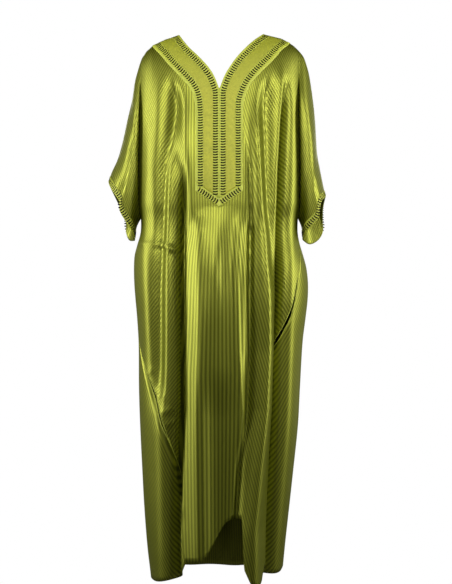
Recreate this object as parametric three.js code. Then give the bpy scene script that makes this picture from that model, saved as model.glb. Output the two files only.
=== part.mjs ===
import * as THREE from "three";

// The garment stands filled out round a hollow. Millimetres, +Z up, the front faces -Y.
// The origin is on the shoulder line, midway between the two ends of the neckline.

// Cloth and braid.
const CLOTH_WALL = 1.5;
const BRAID_WALL = 1.2;
const BRAID_LIFT = 0.3;
const SEAM_GAP = 0.3;

// Reach of the neck trim from the neck edge: inner braid, two halves of the broad band, outer braid.
const BAND_REACH = [0, 16, 28.5, 41, 61];
const INNER_BRAID_COLUMNS = [0];
const BROAD_BAND_COLUMNS = [1, 2];
const OUTER_BRAID_COLUMNS = [3];

// Grid of the panels.
const OUTER_COLUMNS = 22;
const BACK_COLUMNS = 42;
const SKIRT_ROWS = 15;
const COLUMN_CROWDING = 1.5;
const SLEEVE_RINGS = 6;
const CUFF_BRAID = 22;

// Rounding of the body: squareness of its section, and the height over which the shoulders turn over.
const SECTION_POWER = 0.8;
const SHOULDER_ROUND = 150;

// Half widths to each side and depths to the front and the back, by height.
const GIRTH = [
  { z: 0, left: 213, right: 213, front: 88, back: 78 },
  { z: -150, left: 213, right: 213, front: 97, back: 86 },
  { z: -300, left: 213, right: 213, front: 118, back: 95 },
  { z: -440, left: 210, right: 210, front: 122, back: 96 },
  { z: -480, left: 204, right: 204, front: 121, back: 97 },
  { z: -515, left: 204, right: 203, front: 123, back: 98 },
  { z: -545, left: 212, right: 208, front: 126, back: 99 },
  { z: -575, left: 220, right: 217, front: 129, back: 100 },
  { z: -610, left: 222, right: 226, front: 132, back: 102 },
  { z: -650, left: 221, right: 230, front: 134, back: 105 },
  { z: -690, left: 218, right: 229, front: 136, back: 108 },
  { z: -735, left: 214, right: 224, front: 137, back: 111 },
  { z: -800, left: 210, right: 216, front: 137, back: 115 },
  { z: -920, left: 209, right: 209, front: 137, back: 120 },
  { z: -1014, left: 206, right: 204, front: 137, back: 123 },
  { z: -1139, left: 200, right: 191, front: 138, back: 127 },
  { z: -1230, left: 195, right: 181, front: 141, back: 131 },
  { z: -1330, left: 187, right: 170, front: 147, back: 137 },
  { z: -1404, left: 178, right: 163, front: 150, back: 140 },
  { z: -1440, left: 175, right: 160, front: 151, back: 141 },
];

// The shoulder line on each side, as distance out from the middle and height.
const SHOULDER = {
  left: [
    { out: 0, z: 0 },
    { out: 105, z: -4 },
    { out: 142, z: -16 },
    { out: 175, z: -32 },
    { out: 190, z: -46 },
    { out: 201, z: -62 },
    { out: 216, z: -95 },
  ],
  right: [
    { out: 0, z: 0 },
    { out: 114, z: -2 },
    { out: 160, z: -13 },
    { out: 184, z: -25 },
    { out: 195, z: -33 },
    { out: 204, z: -42 },
    { out: 216, z: -58 },
  ],
};

// Neck trim from the shoulder line to the foot of the V: the neck edge and the outer edge of the trim.
const NECK_BAND = {
  left: [
    { out: 105, z: -4, edgeOut: 175, edgeZ: -32 },
    { out: 100, z: -12, edgeOut: 168, edgeZ: -43 },
    { out: 91, z: -26, edgeOut: 154, edgeZ: -59 },
    { out: 76, z: -45, edgeOut: 135, edgeZ: -83 },
    { out: 59, z: -62, edgeOut: 114, edgeZ: -107 },
    { out: 43, z: -79, edgeOut: 93, edgeZ: -130 },
    { out: 27, z: -98, edgeOut: 77, edgeZ: -149 },
    { out: 13, z: -121, edgeOut: 67, edgeZ: -168 },
    { out: 0, z: -154, edgeOut: 62, edgeZ: -193 },
  ],
  right: [
    { out: 114, z: -2, edgeOut: 184, edgeZ: -25 },
    { out: 106, z: -9, edgeOut: 175, edgeZ: -35 },
    { out: 92, z: -20, edgeOut: 160, edgeZ: -49 },
    { out: 77, z: -34, edgeOut: 139, edgeZ: -76 },
    { out: 59, z: -53, edgeOut: 116, edgeZ: -100 },
    { out: 43, z: -72, edgeOut: 95, edgeZ: -123 },
    { out: 28, z: -94, edgeOut: 79, edgeZ: -144 },
    { out: 13, z: -120, edgeOut: 68, edgeZ: -168 },
    { out: 0, z: -154, edgeOut: 61, edgeZ: -193 },
  ],
};

// Rows down the placket: height at the middle and at the outer edge of the trim.
// The last three edge its point.
const PLACKET = [
  { middle: -205, edge: -233 },
  { middle: -262, edge: -276 },
  { middle: -319, edge: -319 },
  { middle: -377, edge: -361 },
  { middle: -434, edge: -393 },
  { middle: -448, edge: -407 },
  { middle: -456, edge: -415 },
];
const PLACKET_EDGE = 60;
const V_FOOT = NECK_BAND.left.length - 1;
const UNDERARM_ROW = V_FOOT + PLACKET.length;
const POINT_ROWS = [UNDERARM_ROW - 2, UNDERARM_ROW - 1];

// The neckline of the back is a deep round scoop.
const BACK_NECK_DROP = 130;
const BACK_SHOULDER_DROP = [205, 221];

// Where the body ends at the armholes, in degrees round from the centre front.
const UNDERARM_Z = -480;
const ARMHOLE = [
  { share: 0, left: 70.7, right: 73.3 },
  { share: 0.2, left: 73.5, right: 74 },
  { share: 0.6, left: 77.5, right: 77.5 },
  { share: 0.85, left: 81, right: 81 },
  { share: 0.94, left: 85, right: 85 },
  { share: 1, left: 90, right: 90 },
];

// The side seams swing forward on the way down. Each is open over a hand slit, by a width in degrees.
const SIDE_SEAM = {
  left: [
    { z: -480, turn: 90, open: 0 },
    { z: -700, turn: 90, open: 0 },
    { z: -770, turn: 86, open: 0 },
    { z: -824, turn: 74, open: 0 },
    { z: -880, turn: 62, open: 1.6 },
    { z: -947, turn: 49.5, open: 2.2 },
    { z: -1010, turn: 42, open: 1.8 },
    { z: -1060, turn: 37, open: 0 },
    { z: -1100, turn: 34, open: 0 },
    { z: -1200, turn: 32, open: 0 },
    { z: -1300, turn: 31, open: 0 },
    { z: -1353, turn: 27.5, open: 0 },
  ],
  right: [
    { z: -480, turn: 90, open: 0 },
    { z: -540, turn: 81, open: 0 },
    { z: -600, turn: 68, open: 0 },
    { z: -645, turn: 60, open: 0 },
    { z: -690, turn: 56.5, open: 2.4 },
    { z: -731, turn: 53, open: 3.4 },
    { z: -780, turn: 48, open: 2.4 },
    { z: -835, turn: 44, open: 0 },
    { z: -900, turn: 43.5, open: 0 },
    { z: -1030, turn: 44, open: 0 },
    { z: -1198, turn: 47.5, open: 0 },
    { z: -1365, turn: 47, open: 0 },
  ],
};

// Hem heights: across the front from its left seam to its right, and round the back in degrees.
const FRONT_HEM = [
  { x: -82, z: -1353 },
  { x: -49, z: -1350 },
  { x: -31, z: -1336 },
  { x: -13, z: -1303 },
  { x: 0, z: -1278 },
  { x: 14, z: -1254 },
  { x: 30, z: -1244 },
  { x: 53, z: -1243 },
  { x: 61, z: -1370 },
  { x: 74, z: -1404 },
  { x: 93, z: -1419 },
  { x: 110, z: -1402 },
  { x: 121, z: -1365 },
];
const BACK_HEM = [
  { turn: 27.5, z: -1353 },
  { turn: 33, z: -1379 },
  { turn: 42, z: -1398 },
  { turn: 62, z: -1409 },
  { turn: 90, z: -1404 },
  { turn: 130, z: -1396 },
  { turn: 180, z: -1402 },
  { turn: 230, z: -1396 },
  { turn: 270, z: -1378 },
  { turn: 288, z: -1390 },
  { turn: 303, z: -1388 },
  { turn: 313, z: -1365 },
];

// Heights at which the folds of the front are placed.
const LEVELS = {
  chest: -210,
  bust: -360,
  waist: -515,
  hip: -665,
  thigh: -820,
  knee: -970,
  shin: -1120,
  hem: -1275,
};

// Soft folds of the front: how far across each one lies at each level, where it starts and ends,
// its height out from the body and its half width.
const FRONT_FOLDS = [
  {
    name: "left hollow", from: -270, to: -1700, height: -28, spread: 16,
    chest: -85, bust: -90, waist: -100, hip: -100, thigh: -100, knee: -100, shin: -110, hem: -115,
  },
  {
    name: "left long ridge", from: -160, to: -1700, height: 14, spread: 18,
    chest: -85, bust: -69, waist: -59, hip: -59, thigh: -59, knee: -69, shin: -69, hem: -64,
  },
  {
    name: "middle hollow", from: -640, to: -1700, height: -6, spread: 42,
    chest: -3, bust: -3, waist: -3, hip: -3, thigh: -3, knee: -1, shin: -1, hem: 2,
  },
  {
    name: "right long ridge", from: -150, to: -1700, height: 20, spread: 17,
    chest: 78, bust: 95, waist: 108, hip: 113, thigh: 118, knee: 108, shin: 93, hem: 78,
  },
  {
    name: "right hollow", from: -110, to: -1700, height: -27, spread: 16,
    chest: 177, bust: 169, waist: 159, hip: 156, thigh: 154, knee: 156, shin: 144, hem: 133,
  },
  {
    name: "left flank lobe", from: -900, to: -1700, height: 10, spread: 26,
    chest: -161, bust: -161, waist: -161, hip: -161, thigh: -156, knee: -150, shin: -140, hem: -138,
  },
];

// The cloth swells out below the point of the placket.
const BELLY = { x: -14, z: -640, wide: 34, tall: 120, height: 14 };

// Soft folds of the back, placed in degrees round from the centre front, minus on the left.
const BACK_FOLDS = [
  { name: "left side hollow", from: -560, to: -1700, turn: -110, lowTurn: -106, height: -8, spread: 10 },
  { name: "left ridge", from: -330, to: -1700, turn: -131, lowTurn: -130, height: 9, spread: 10 },
  { name: "left hollow", from: -300, to: -1700, turn: -151, lowTurn: -152, height: -12, spread: 10 },
  { name: "middle ridge", from: -280, to: -1700, turn: -172, lowTurn: -174, height: 11, spread: 10 },
  { name: "right inner hollow", from: -260, to: -1700, turn: 168, lowTurn: 165, height: -10, spread: 10 },
  { name: "right ridge", from: -300, to: -1700, turn: 145, lowTurn: 142, height: 12, spread: 10 },
  { name: "right hollow", from: -360, to: -1700, turn: 122, lowTurn: 120, height: -11, spread: 10 },
];
const FOLD_FADE = 130;
const FIRM_REACH = 45;

// Sleeves: the outline from the shoulder end to the tip of the cuff, and the cuff edge front and back.
const SLEEVE_TOP = {
  left: [
    { out: 201, z: -62 },
    { out: 207, z: -78 },
    { out: 212, z: -95 },
    { out: 220, z: -125 },
    { out: 227, z: -172 },
    { out: 238, z: -218 },
    { out: 248, z: -265 },
    { out: 256, z: -298 },
    { out: 266, z: -330 },
    { out: 280, z: -360 },
    { out: 288, z: -386 },
  ],
  right: [
    { out: 204, z: -42 },
    { out: 213, z: -52 },
    { out: 220, z: -63 },
    { out: 226, z: -80 },
    { out: 234, z: -111 },
    { out: 243, z: -172 },
    { out: 248, z: -218 },
    { out: 251, z: -265 },
    { out: 254, z: -312 },
    { out: 260, z: -346 },
    { out: 270, z: -396 },
    { out: 276, z: -422 },
  ],
};
const SLEEVE_FOOT = {
  left: [
    { out: 204, z: -480 },
    { out: 215, z: -503 },
    { out: 221, z: -538 },
  ],
  right: [
    { out: 204, z: -480 },
    { out: 213, z: -503 },
    { out: 217, z: -536 },
  ],
};
const CUFF_FRONT = {
  left: [
    { out: 288, y: 0, z: -386 },
    { out: 283, y: -26, z: -398 },
    { out: 271, y: -50, z: -417 },
    { out: 257, y: -58, z: -438 },
    { out: 256, y: -60, z: -463 },
    { out: 238, y: -52, z: -494 },
    { out: 226, y: -32, z: -514 },
    { out: 221, y: 0, z: -538 },
  ],
  right: [
    { out: 276, y: 0, z: -422 },
    { out: 271, y: -26, z: -428 },
    { out: 263, y: -50, z: -437 },
    { out: 258, y: -58, z: -456 },
    { out: 255, y: -60, z: -479 },
    { out: 238, y: -52, z: -501 },
    { out: 223, y: -32, z: -519 },
    { out: 217, y: 0, z: -536 },
  ],
};
const CUFF_BACK = {
  left: [
    { out: 288, y: 0, z: -386 },
    { out: 283, y: 26, z: -402 },
    { out: 272, y: 48, z: -427 },
    { out: 258, y: 62, z: -457 },
    { out: 247, y: 66, z: -487 },
    { out: 246, y: 60, z: -514 },
    { out: 237, y: 36, z: -535 },
    { out: 221, y: 0, z: -538 },
  ],
  right: [
    { out: 276, y: 0, z: -422 },
    { out: 274, y: 26, z: -434 },
    { out: 271, y: 48, z: -454 },
    { out: 271, y: 60, z: -484 },
    { out: 272, y: 62, z: -513 },
    { out: 259, y: 54, z: -535 },
    { out: 237, y: 30, z: -546 },
    { out: 217, y: 0, z: -536 },
  ],
};
const SLEEVE_SWELL = 18;
const SWELL_LEAD = 0.45;
const ON_SHOULDER = 0.001;

// Colours of the pieces.
const SATIN = 0x8d9a35;
const GOLD = 0xc8c650;
const BRAID = 0x4a4a18;

const SIGN = { left: -1, right: 1 };

function mix(a, b, share) {
  return a + (b - a) * share;
}

function ease(share) {
  const s = Math.min(1, Math.max(0, share));
  return s * s * (3 - 2 * s);
}

function radians(degrees) {
  return (degrees * Math.PI) / 180;
}

// One named column of a table at a place given by another column, on a smooth curve through its rows.
function smoothAt(table, column, place, by = "z") {
  const last = table.length - 1;
  const rising = table[last][by] > table[0][by];
  let row = 0;
  while (row < last - 1 && (rising ? place > table[row + 1][by] : place < table[row + 1][by])) {
    row += 1;
  }
  const slope = (i) => {
    const lower = table[Math.max(0, i - 1)];
    const upper = table[Math.min(last, i + 1)];
    return (upper[column] - lower[column]) / (upper[by] - lower[by]);
  };
  const from = table[row];
  const to = table[row + 1];
  const span = to[by] - from[by];
  const s = Math.min(1, Math.max(0, (place - from[by]) / span));
  const hold = s * s * (3 - 2 * s);
  const leave = s * (1 - s) * (1 - s) * span * slope(row);
  const reach = s * s * (s - 1) * span * slope(row + 1);
  return mix(from[column], to[column], hold) + leave + reach;
}

// One named column of a table between its rows in straight steps.
function straightAt(table, column, place, by) {
  const rising = table[1][by] > table[0][by];
  let row = 0;
  while (row < table.length - 2 && (rising ? place > table[row + 1][by] : place < table[row + 1][by])) {
    row += 1;
  }
  const from = table[row];
  const to = table[row + 1];
  const s = Math.min(1, Math.max(0, (place - from[by]) / (to[by] - from[by])));
  return mix(from[column], to[column], s);
}

function foldFade(fold, z) {
  return ease((fold.from - z) / FOLD_FADE) * ease((z - fold.to) / FOLD_FADE);
}

// Height of the swell and the folds of the front at a distance across.
function frontFoldHeight(x, z) {
  const across = (x - BELLY.x) / BELLY.wide;
  const down = (z - BELLY.z) / BELLY.tall;
  let height = BELLY.height * Math.exp(-(across ** 2) - down ** 2);
  for (const fold of FRONT_FOLDS) {
    const path = Object.entries(LEVELS).map(([level, at]) => ({ at, across: fold[level] }));
    const away = x - straightAt(path, "across", z, "at");
    height += fold.height * foldFade(fold, z) * Math.exp(-((away / fold.spread) ** 2));
  }
  return height;
}

function backFoldHeight(turn, z) {
  let height = 0;
  for (const fold of BACK_FOLDS) {
    const down = Math.min(1, Math.max(0, (z - fold.from) / (fold.to - fold.from)));
    const centre = mix(fold.turn, fold.lowTurn, down);
    const away = ((((turn - centre) % 360) + 540) % 360) - 180;
    height += fold.height * foldFade(fold, z) * Math.exp(-((away / fold.spread) ** 2));
  }
  return height;
}

// A point of the body: turn is degrees round from the centre front, minus on the left.
function bodyPoint(turn, z, softness = 1) {
  const side = turn < 0 ? "left" : "right";
  const sine = Math.sin(radians(turn));
  const cosine = Math.cos(radians(turn));
  const halfWidth = smoothAt(GIRTH, side, z);
  const depth = smoothAt(GIRTH, cosine > 0 ? "front" : "back", z);
  const out = halfWidth * Math.abs(sine);
  const drop = (straightAt(SHOULDER[side], "z", out, "out") - z) / SHOULDER_ROUND;
  const over = drop >= 1 ? 1 : Math.sqrt(Math.max(0, drop * (2 - drop)));
  const y = -Math.sign(cosine) * depth * Math.abs(cosine) ** SECTION_POWER * over;
  const outward = new THREE.Vector3(sine * depth, -cosine * halfWidth, 0).normalize();
  const point = new THREE.Vector3(SIGN[side] * out, y, z);
  const fold = frontFoldHeight(point.x, z) * ease(cosine * 5) + backFoldHeight(turn, z);
  return point.addScaledVector(outward, fold * softness * over);
}

// The turn that puts a point of the body at a distance out from the middle.
function turnAt(side, out, z) {
  const share = Math.min(1, out / smoothAt(GIRTH, side, z));
  return (SIGN[side] * Math.asin(share) * 180) / Math.PI;
}

// The seam lines that pieces share: shoulder, both edges of each armhole, side seams.
function shoulderEndRow(side) {
  return SHOULDER[side][5];
}

function shoulderPoint(side, out) {
  return new THREE.Vector3(SIGN[side] * out, 0, straightAt(SHOULDER[side], "z", out, "out"));
}

function bandShoulderPoint(side, reach) {
  const row = NECK_BAND[side][0];
  return shoulderPoint(side, mix(row.out, row.edgeOut, reach / BAND_REACH.at(-1)));
}

// From the trim to the shoulder end the line has two straight parts.
function outerShoulderPoint(side, share) {
  const [from, middle, to] = SHOULDER[side].slice(3, 6);
  const out = share < 0.5 ? mix(from.out, middle.out, share * 2) : mix(middle.out, to.out, share * 2 - 1);
  return shoulderPoint(side, out);
}

function armholePoint(side, row, face) {
  const share = row / UNDERARM_ROW;
  const z = mix(shoulderEndRow(side).z, UNDERARM_Z, share);
  if (row === 0) {
    return outerShoulderPoint(side, 1);
  }
  const turn = smoothAt(ARMHOLE, side, share, "share");
  return bodyPoint(SIGN[side] * (face === "front" ? turn : 180 - turn), z);
}

function seamPlace(side, row, face) {
  const table = SIDE_SEAM[side];
  const z = mix(UNDERARM_Z, table.at(-1).z, row / SKIRT_ROWS);
  const half = Math.max(0, straightAt(table, "open", z, "z")) / 2;
  const turn = smoothAt(table, "turn", z) + (face === "front" ? -half : half);
  return { turn: SIGN[side] * turn, z };
}

function seamPoint(side, row, face) {
  const place = seamPlace(side, row, face);
  return bodyPoint(place.turn, place.z);
}

// A sheet is a grid of points with four-cornered cells that turn anticlockwise seen from outside.
function newSheet() {
  return { points: [], cells: [], normals: [] };
}

function addPoint(sheet, point) {
  sheet.points.push(point);
  return sheet.points.length - 1;
}

function addCell(sheet, corners, flip, tag) {
  sheet.cells.push({ corners: flip ? [...corners].reverse() : corners, ...tag });
}

function setNormals(sheet) {
  sheet.normals = sheet.points.map(() => new THREE.Vector3());
  for (const { corners } of sheet.cells) {
    const [a, b, c, d] = corners.map((i) => sheet.points[i]);
    const normal = new THREE.Vector3().crossVectors(c.clone().sub(a), d.clone().sub(b));
    corners.forEach((i) => sheet.normals[i].add(normal));
  }
  sheet.normals.forEach((normal) => normal.normalize());
}

// Points that two pieces share at a seam get one common normal, so both walls end in the same plane.
function shareNormals(sheets) {
  const meeting = new Map();
  for (const sheet of sheets) {
    sheet.points.forEach((point, i) => {
      const key = point.toArray().map((value) => Math.round(value * 20)).join(" ");
      const group = meeting.get(key) ?? [];
      group.push(sheet.normals[i]);
      meeting.set(key, group);
    });
  }
  for (const group of meeting.values()) {
    const sum = new THREE.Vector3();
    group.forEach((normal) => sum.add(normal));
    sum.normalize();
    group.forEach((normal) => normal.copy(sum));
  }
  for (const sheet of sheets) {
    sheet.points.forEach((point, i) => {
      if (Math.abs(point.y) < ON_SHOULDER && point.z > SLEEVE_TOP.left[0].z - 1) {
        sheet.normals[i].setY(0).normalize();
      }
    });
  }
}

// A closed wall on some cells of a sheet, between two heights above it, drawn in at its edges.
function wall(sheet, cells, low, high, inset) {
  const used = new Map();
  for (const { corners } of cells) {
    corners.forEach((i) => used.set(i, used.get(i) ?? used.size));
  }
  const edges = new Map();
  for (const { corners } of cells) {
    corners.forEach((from, k) => {
      const to = corners[(k + 1) % 4];
      if (!edges.delete(to + " " + from)) {
        edges.set(from + " " + to, [from, to]);
      }
    });
  }
  const inward = new Map();
  for (const [from, to] of edges.values()) {
    for (const i of [from, to]) {
      const along = sheet.points[to].clone().sub(sheet.points[from]).normalize();
      const across = new THREE.Vector3().crossVectors(sheet.normals[i], along).normalize();
      inward.set(i, [...(inward.get(i) ?? []), across]);
    }
  }
  const count = used.size;
  const positions = new Float32Array(count * 6);
  for (const [i, slot] of used) {
    const base = sheet.points[i].clone();
    if (inward.has(i)) {
      const [way, otherWay] = inward.get(i);
      const corner = Math.max(0.5, 1 + way.dot(otherWay));
      base.addScaledVector(way.clone().add(otherWay), inset / corner);
    }
    base.clone().addScaledVector(sheet.normals[i], high).toArray(positions, slot * 3);
    base.clone().addScaledVector(sheet.normals[i], low).toArray(positions, (slot + count) * 3);
  }
  const index = [];
  const place = (slot) => new THREE.Vector3().fromArray(positions, slot * 3);
  for (const { corners } of cells) {
    const [a, b, c, d] = corners.map((i) => used.get(i));
    const level = place(a).distanceTo(place(c)) <= place(b).distanceTo(place(d));
    const halves = level ? [[a, b, c], [a, c, d]] : [[a, b, d], [b, c, d]];
    for (const [p, q, r] of halves) {
      index.push(p, q, r, r + count, q + count, p + count);
    }
  }
  for (const [from, to] of edges.values()) {
    const a = used.get(from);
    const b = used.get(to);
    const rising = place(b).distanceTo(place(a + count)) < place(a).distanceTo(place(b + count));
    const rim = rising
      ? [b, a, a + count, b, a + count, b + count]
      : [b, a, b + count, a, a + count, b + count];
    index.push(...rim);
  }
  const geometry = new THREE.BufferGeometry();
  geometry.setAttribute("position", new THREE.BufferAttribute(positions, 3));
  geometry.setIndex(index);
  geometry.computeVertexNormals();
  return geometry;
}

// The front: one half each side of the middle, joined there from the foot of the V down.
function frontSheet() {
  const sheet = newSheet();
  const columns = BAND_REACH.length - 1 + OUTER_COLUMNS;
  const rows = UNDERARM_ROW + SKIRT_ROWS;
  const trimReach = BAND_REACH.at(-1);
  const middle = [];
  for (const side of ["left", "right"]) {
    const places = [];
    for (let row = 0; row <= rows; row += 1) {
      const line = [];
      for (let column = 0; column <= columns; column += 1) {
        line.push(frontPlace(side, row, column, columns, trimReach, places));
      }
      places.push(line);
    }
    const ids = places.map((line, row) =>
      line.map((place, column) => {
        const shared = column === 0 && row >= V_FOOT;
        if (shared && middle[row] !== undefined) {
          return middle[row];
        }
        const id = addPoint(sheet, frontPoint(side, row, column, columns, place));
        if (shared) {
          middle[row] = id;
        }
        return id;
      }),
    );
    for (let row = 0; row < rows; row += 1) {
      for (let column = 0; column < columns; column += 1) {
        const corners = [
          ids[row][column],
          ids[row][column + 1],
          ids[row + 1][column + 1],
          ids[row + 1][column],
        ];
        addCell(sheet, corners, side === "right", { side, row, column });
      }
    }
  }
  return sheet;
}

// Turn, height and softness of a point of the front.
function frontPlace(side, row, column, columns, trimReach, above) {
  const bandColumns = BAND_REACH.length - 1;
  const share = BAND_REACH[Math.min(column, bandColumns)] / trimReach;
  if (row <= UNDERARM_ROW) {
    const band = row <= V_FOOT ? NECK_BAND[side][row] : PLACKET[row - V_FOOT - 1];
    const edgeOut = band.edgeOut ?? PLACKET_EDGE;
    const out = mix(band.out ?? 0, edgeOut, share);
    const z = mix(band.z ?? band.middle, band.edgeZ ?? band.edge, share);
    if (column <= bandColumns) {
      return { turn: turnAt(side, out, z), z, softness: 0 };
    }
    const across = (column - bandColumns) / OUTER_COLUMNS;
    const rim = row / UNDERARM_ROW;
    const rimTurn = SIGN[side] * smoothAt(ARMHOLE, side, rim, "share");
    const rimZ = mix(shoulderEndRow(side).z, UNDERARM_Z, rim);
    const turn = mix(turnAt(side, edgeOut, z), rimTurn, across);
    const away = Math.abs(smoothAt(GIRTH, side, z) * Math.sin(radians(turn))) - edgeOut;
    return { turn, z: mix(z, rimZ, across), softness: ease(away / FIRM_REACH) };
  }
  const down = (row - UNDERARM_ROW) / SKIRT_ROWS;
  const start = above[UNDERARM_ROW][column];
  const rim = seamPlace(side, row - UNDERARM_ROW, "front");
  const hemRim = seamPlace(side, SKIRT_ROWS, "front");
  const plumb = mix(Math.abs(start.turn), (90 * column) / columns, ease(down * 2.5));
  const turn = SIGN[side] * drawnIn(plumb, Math.abs(rim.turn));
  const hemTurn = SIGN[side] * drawnIn((90 * column) / columns, Math.abs(hemRim.turn));
  const hem = straightAt(FRONT_HEM, "z", hemX(side, hemTurn), "x");
  const z = column === columns ? rim.z : mix(start.z, hem, down);
  const below = ease((above[UNDERARM_ROW][0].z - z) / (FIRM_REACH * 1.5));
  return { turn, z, softness: Math.max(start.softness, below) };
}

// Columns near the middle hang plumb; those near the side crowd in as the seam swings forward.
function drawnIn(turn, rimTurn) {
  if (rimTurn >= 90 || turn === 0) {
    return turn;
  }
  const limit = rimTurn ** -COLUMN_CROWDING - 90 ** -COLUMN_CROWDING;
  return (turn ** -COLUMN_CROWDING + limit) ** (-1 / COLUMN_CROWDING);
}

function hemX(side, turn) {
  return smoothAt(GIRTH, side, FRONT_HEM[0].z) * Math.sin(radians(turn));
}

function frontPoint(side, row, column, columns, place) {
  const bandColumns = BAND_REACH.length - 1;
  if (row === 0) {
    return column <= bandColumns
      ? bandShoulderPoint(side, BAND_REACH[column])
      : outerShoulderPoint(side, (column - bandColumns) / OUTER_COLUMNS);
  }
  if (column === columns) {
    return row <= UNDERARM_ROW
      ? armholePoint(side, row, "front")
      : seamPoint(side, row - UNDERARM_ROW, "front");
  }
  return bodyPoint(place.turn, place.z, place.softness);
}

// The back: rows leave the left edge on the shoulder, the armhole or the side seam and end on the right.
function backSheet() {
  const sheet = newSheet();
  const bandRows = BAND_REACH.length - 1;
  const armholeStart = bandRows + 2;
  const skirtStart = armholeStart + UNDERARM_ROW;
  const rows = skirtStart + SKIRT_ROWS;
  const trimDrop = BACK_NECK_DROP + BAND_REACH.at(-1);
  const places = [];
  for (let row = 0; row <= rows; row += 1) {
    const line = [];
    for (let column = 0; column <= BACK_COLUMNS; column += 1) {
      line.push(backPlace(row, column, { bandRows, armholeStart, skirtStart, trimDrop }, places));
    }
    places.push(line);
  }
  const ids = places.map((line) => line.map((place) => addPoint(sheet, place.point)));
  for (let row = 0; row < rows; row += 1) {
    for (let column = 0; column < BACK_COLUMNS; column += 1) {
      const above = ids[row];
      const below = ids[row + 1];
      const corners = [above[column], above[column + 1], below[column + 1], below[column]];
      addCell(sheet, corners, false, { row, column });
    }
  }
  return sheet;
}

// The point where a row of the back leaves or meets its edge.
function backEdge(side, row, layout) {
  if (row <= layout.bandRows) {
    return bandShoulderPoint(side, BAND_REACH[row]);
  }
  if (row <= layout.armholeStart) {
    return outerShoulderPoint(side, (row - layout.bandRows) / 2);
  }
  if (row <= layout.skirtStart) {
    return armholePoint(side, row - layout.armholeStart, "back");
  }
  return seamPoint(side, row - layout.skirtStart, "back");
}

// Degrees from the centre back, and height, of a point of the back.
function backPlace(row, column, layout, above) {
  const across = column / BACK_COLUMNS;
  const side = across < 0.5 ? "left" : "right";
  const atEdge = column === 0 || column === BACK_COLUMNS;
  if (row <= layout.skirtStart) {
    const ends = { left: backEdge("left", row, layout), right: backEdge("right", row, layout) };
    const past = Math.max(0, row - layout.bandRows) / (layout.skirtStart - layout.bandRows);
    const level = ease(Math.min(1, past * 1.25));
    const sweep = mix(-Math.cos(Math.PI * across), 2 * across - 1, level);
    const half = Math.abs(turnAt(side, Math.abs(ends[side].x), ends[side].z));
    const from = row > layout.armholeStart
      ? smoothAt(ARMHOLE, side, (row - layout.armholeStart) / UNDERARM_ROW, "share")
      : half;
    const middleZ = -backMiddleDrop(row, layout);
    const endZ = mix(ends.left.z, ends.right.z, across);
    const z = mix(endZ, middleZ, Math.sin(Math.PI * across) ** mix(0.9, 1.7, level));
    const angle = sweep * from;
    const softness = ease((-z - layout.trimDrop) / (FIRM_REACH * 2));
    const point = atEdge ? ends[side] : bodyPoint(backTurn(angle), z, softness);
    return { angle, z, point };
  }
  const down = row - layout.skirtStart;
  const left = seamPlace("left", down, "back");
  const right = seamPlace("right", down, "back");
  const angle = mix(-(180 + left.turn), 180 - right.turn, across);
  if (atEdge) {
    return { angle, z: side === "left" ? left.z : right.z, point: backEdge(side, row, layout) };
  }
  const hem = smoothAt(BACK_HEM, "z", 180 + angle, "turn");
  const z = mix(above[layout.skirtStart][column].z, hem, down / SKIRT_ROWS);
  return { angle, z, point: bodyPoint(backTurn(angle), z) };
}

function backTurn(angle) {
  return angle < 0 ? -180 - angle : 180 - angle;
}

function backMiddleDrop(row, layout) {
  if (row <= layout.bandRows) {
    return BACK_NECK_DROP + BAND_REACH[row];
  }
  if (row <= layout.armholeStart) {
    return BACK_SHOULDER_DROP[row - layout.bandRows - 1];
  }
  return mix(BACK_SHOULDER_DROP[1], -UNDERARM_Z, (row - layout.armholeStart) / UNDERARM_ROW);
}

// A place along a table taken as a smooth line, by share of its rows.
function alongLine(side, table, share, columnNames) {
  const rows = table.map((row, i) => ({ ...row, step: i / (table.length - 1) }));
  const [out, y, z] = columnNames.map((name) => (name ? smoothAt(rows, name, share, "step") : 0));
  return new THREE.Vector3(SIGN[side] * out, y, z);
}

// A sleeve: rings from the armhole to the cuff, each down its front and up its back.
function sleeveSheet(side) {
  const sheet = newSheet();
  const around = 2 * UNDERARM_ROW;
  const rings = [];
  for (let ring = 0; ring <= SLEEVE_RINGS + 1; ring += 1) {
    const ids = [];
    for (let step = 0; step < around; step += 1) {
      const face = step <= UNDERARM_ROW ? "front" : "back";
      const row = face === "front" ? step : around - step;
      ids.push(addPoint(sheet, sleevePoint(side, ring, row, face)));
    }
    rings.push(ids);
  }
  for (let ring = 0; ring <= SLEEVE_RINGS; ring += 1) {
    for (let step = 0; step < around; step += 1) {
      const next = (step + 1) % around;
      const corners = [rings[ring][step], rings[ring + 1][step], rings[ring + 1][next], rings[ring][next]];
      addCell(sheet, corners, side === "right", { ring });
    }
  }
  return sheet;
}

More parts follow.
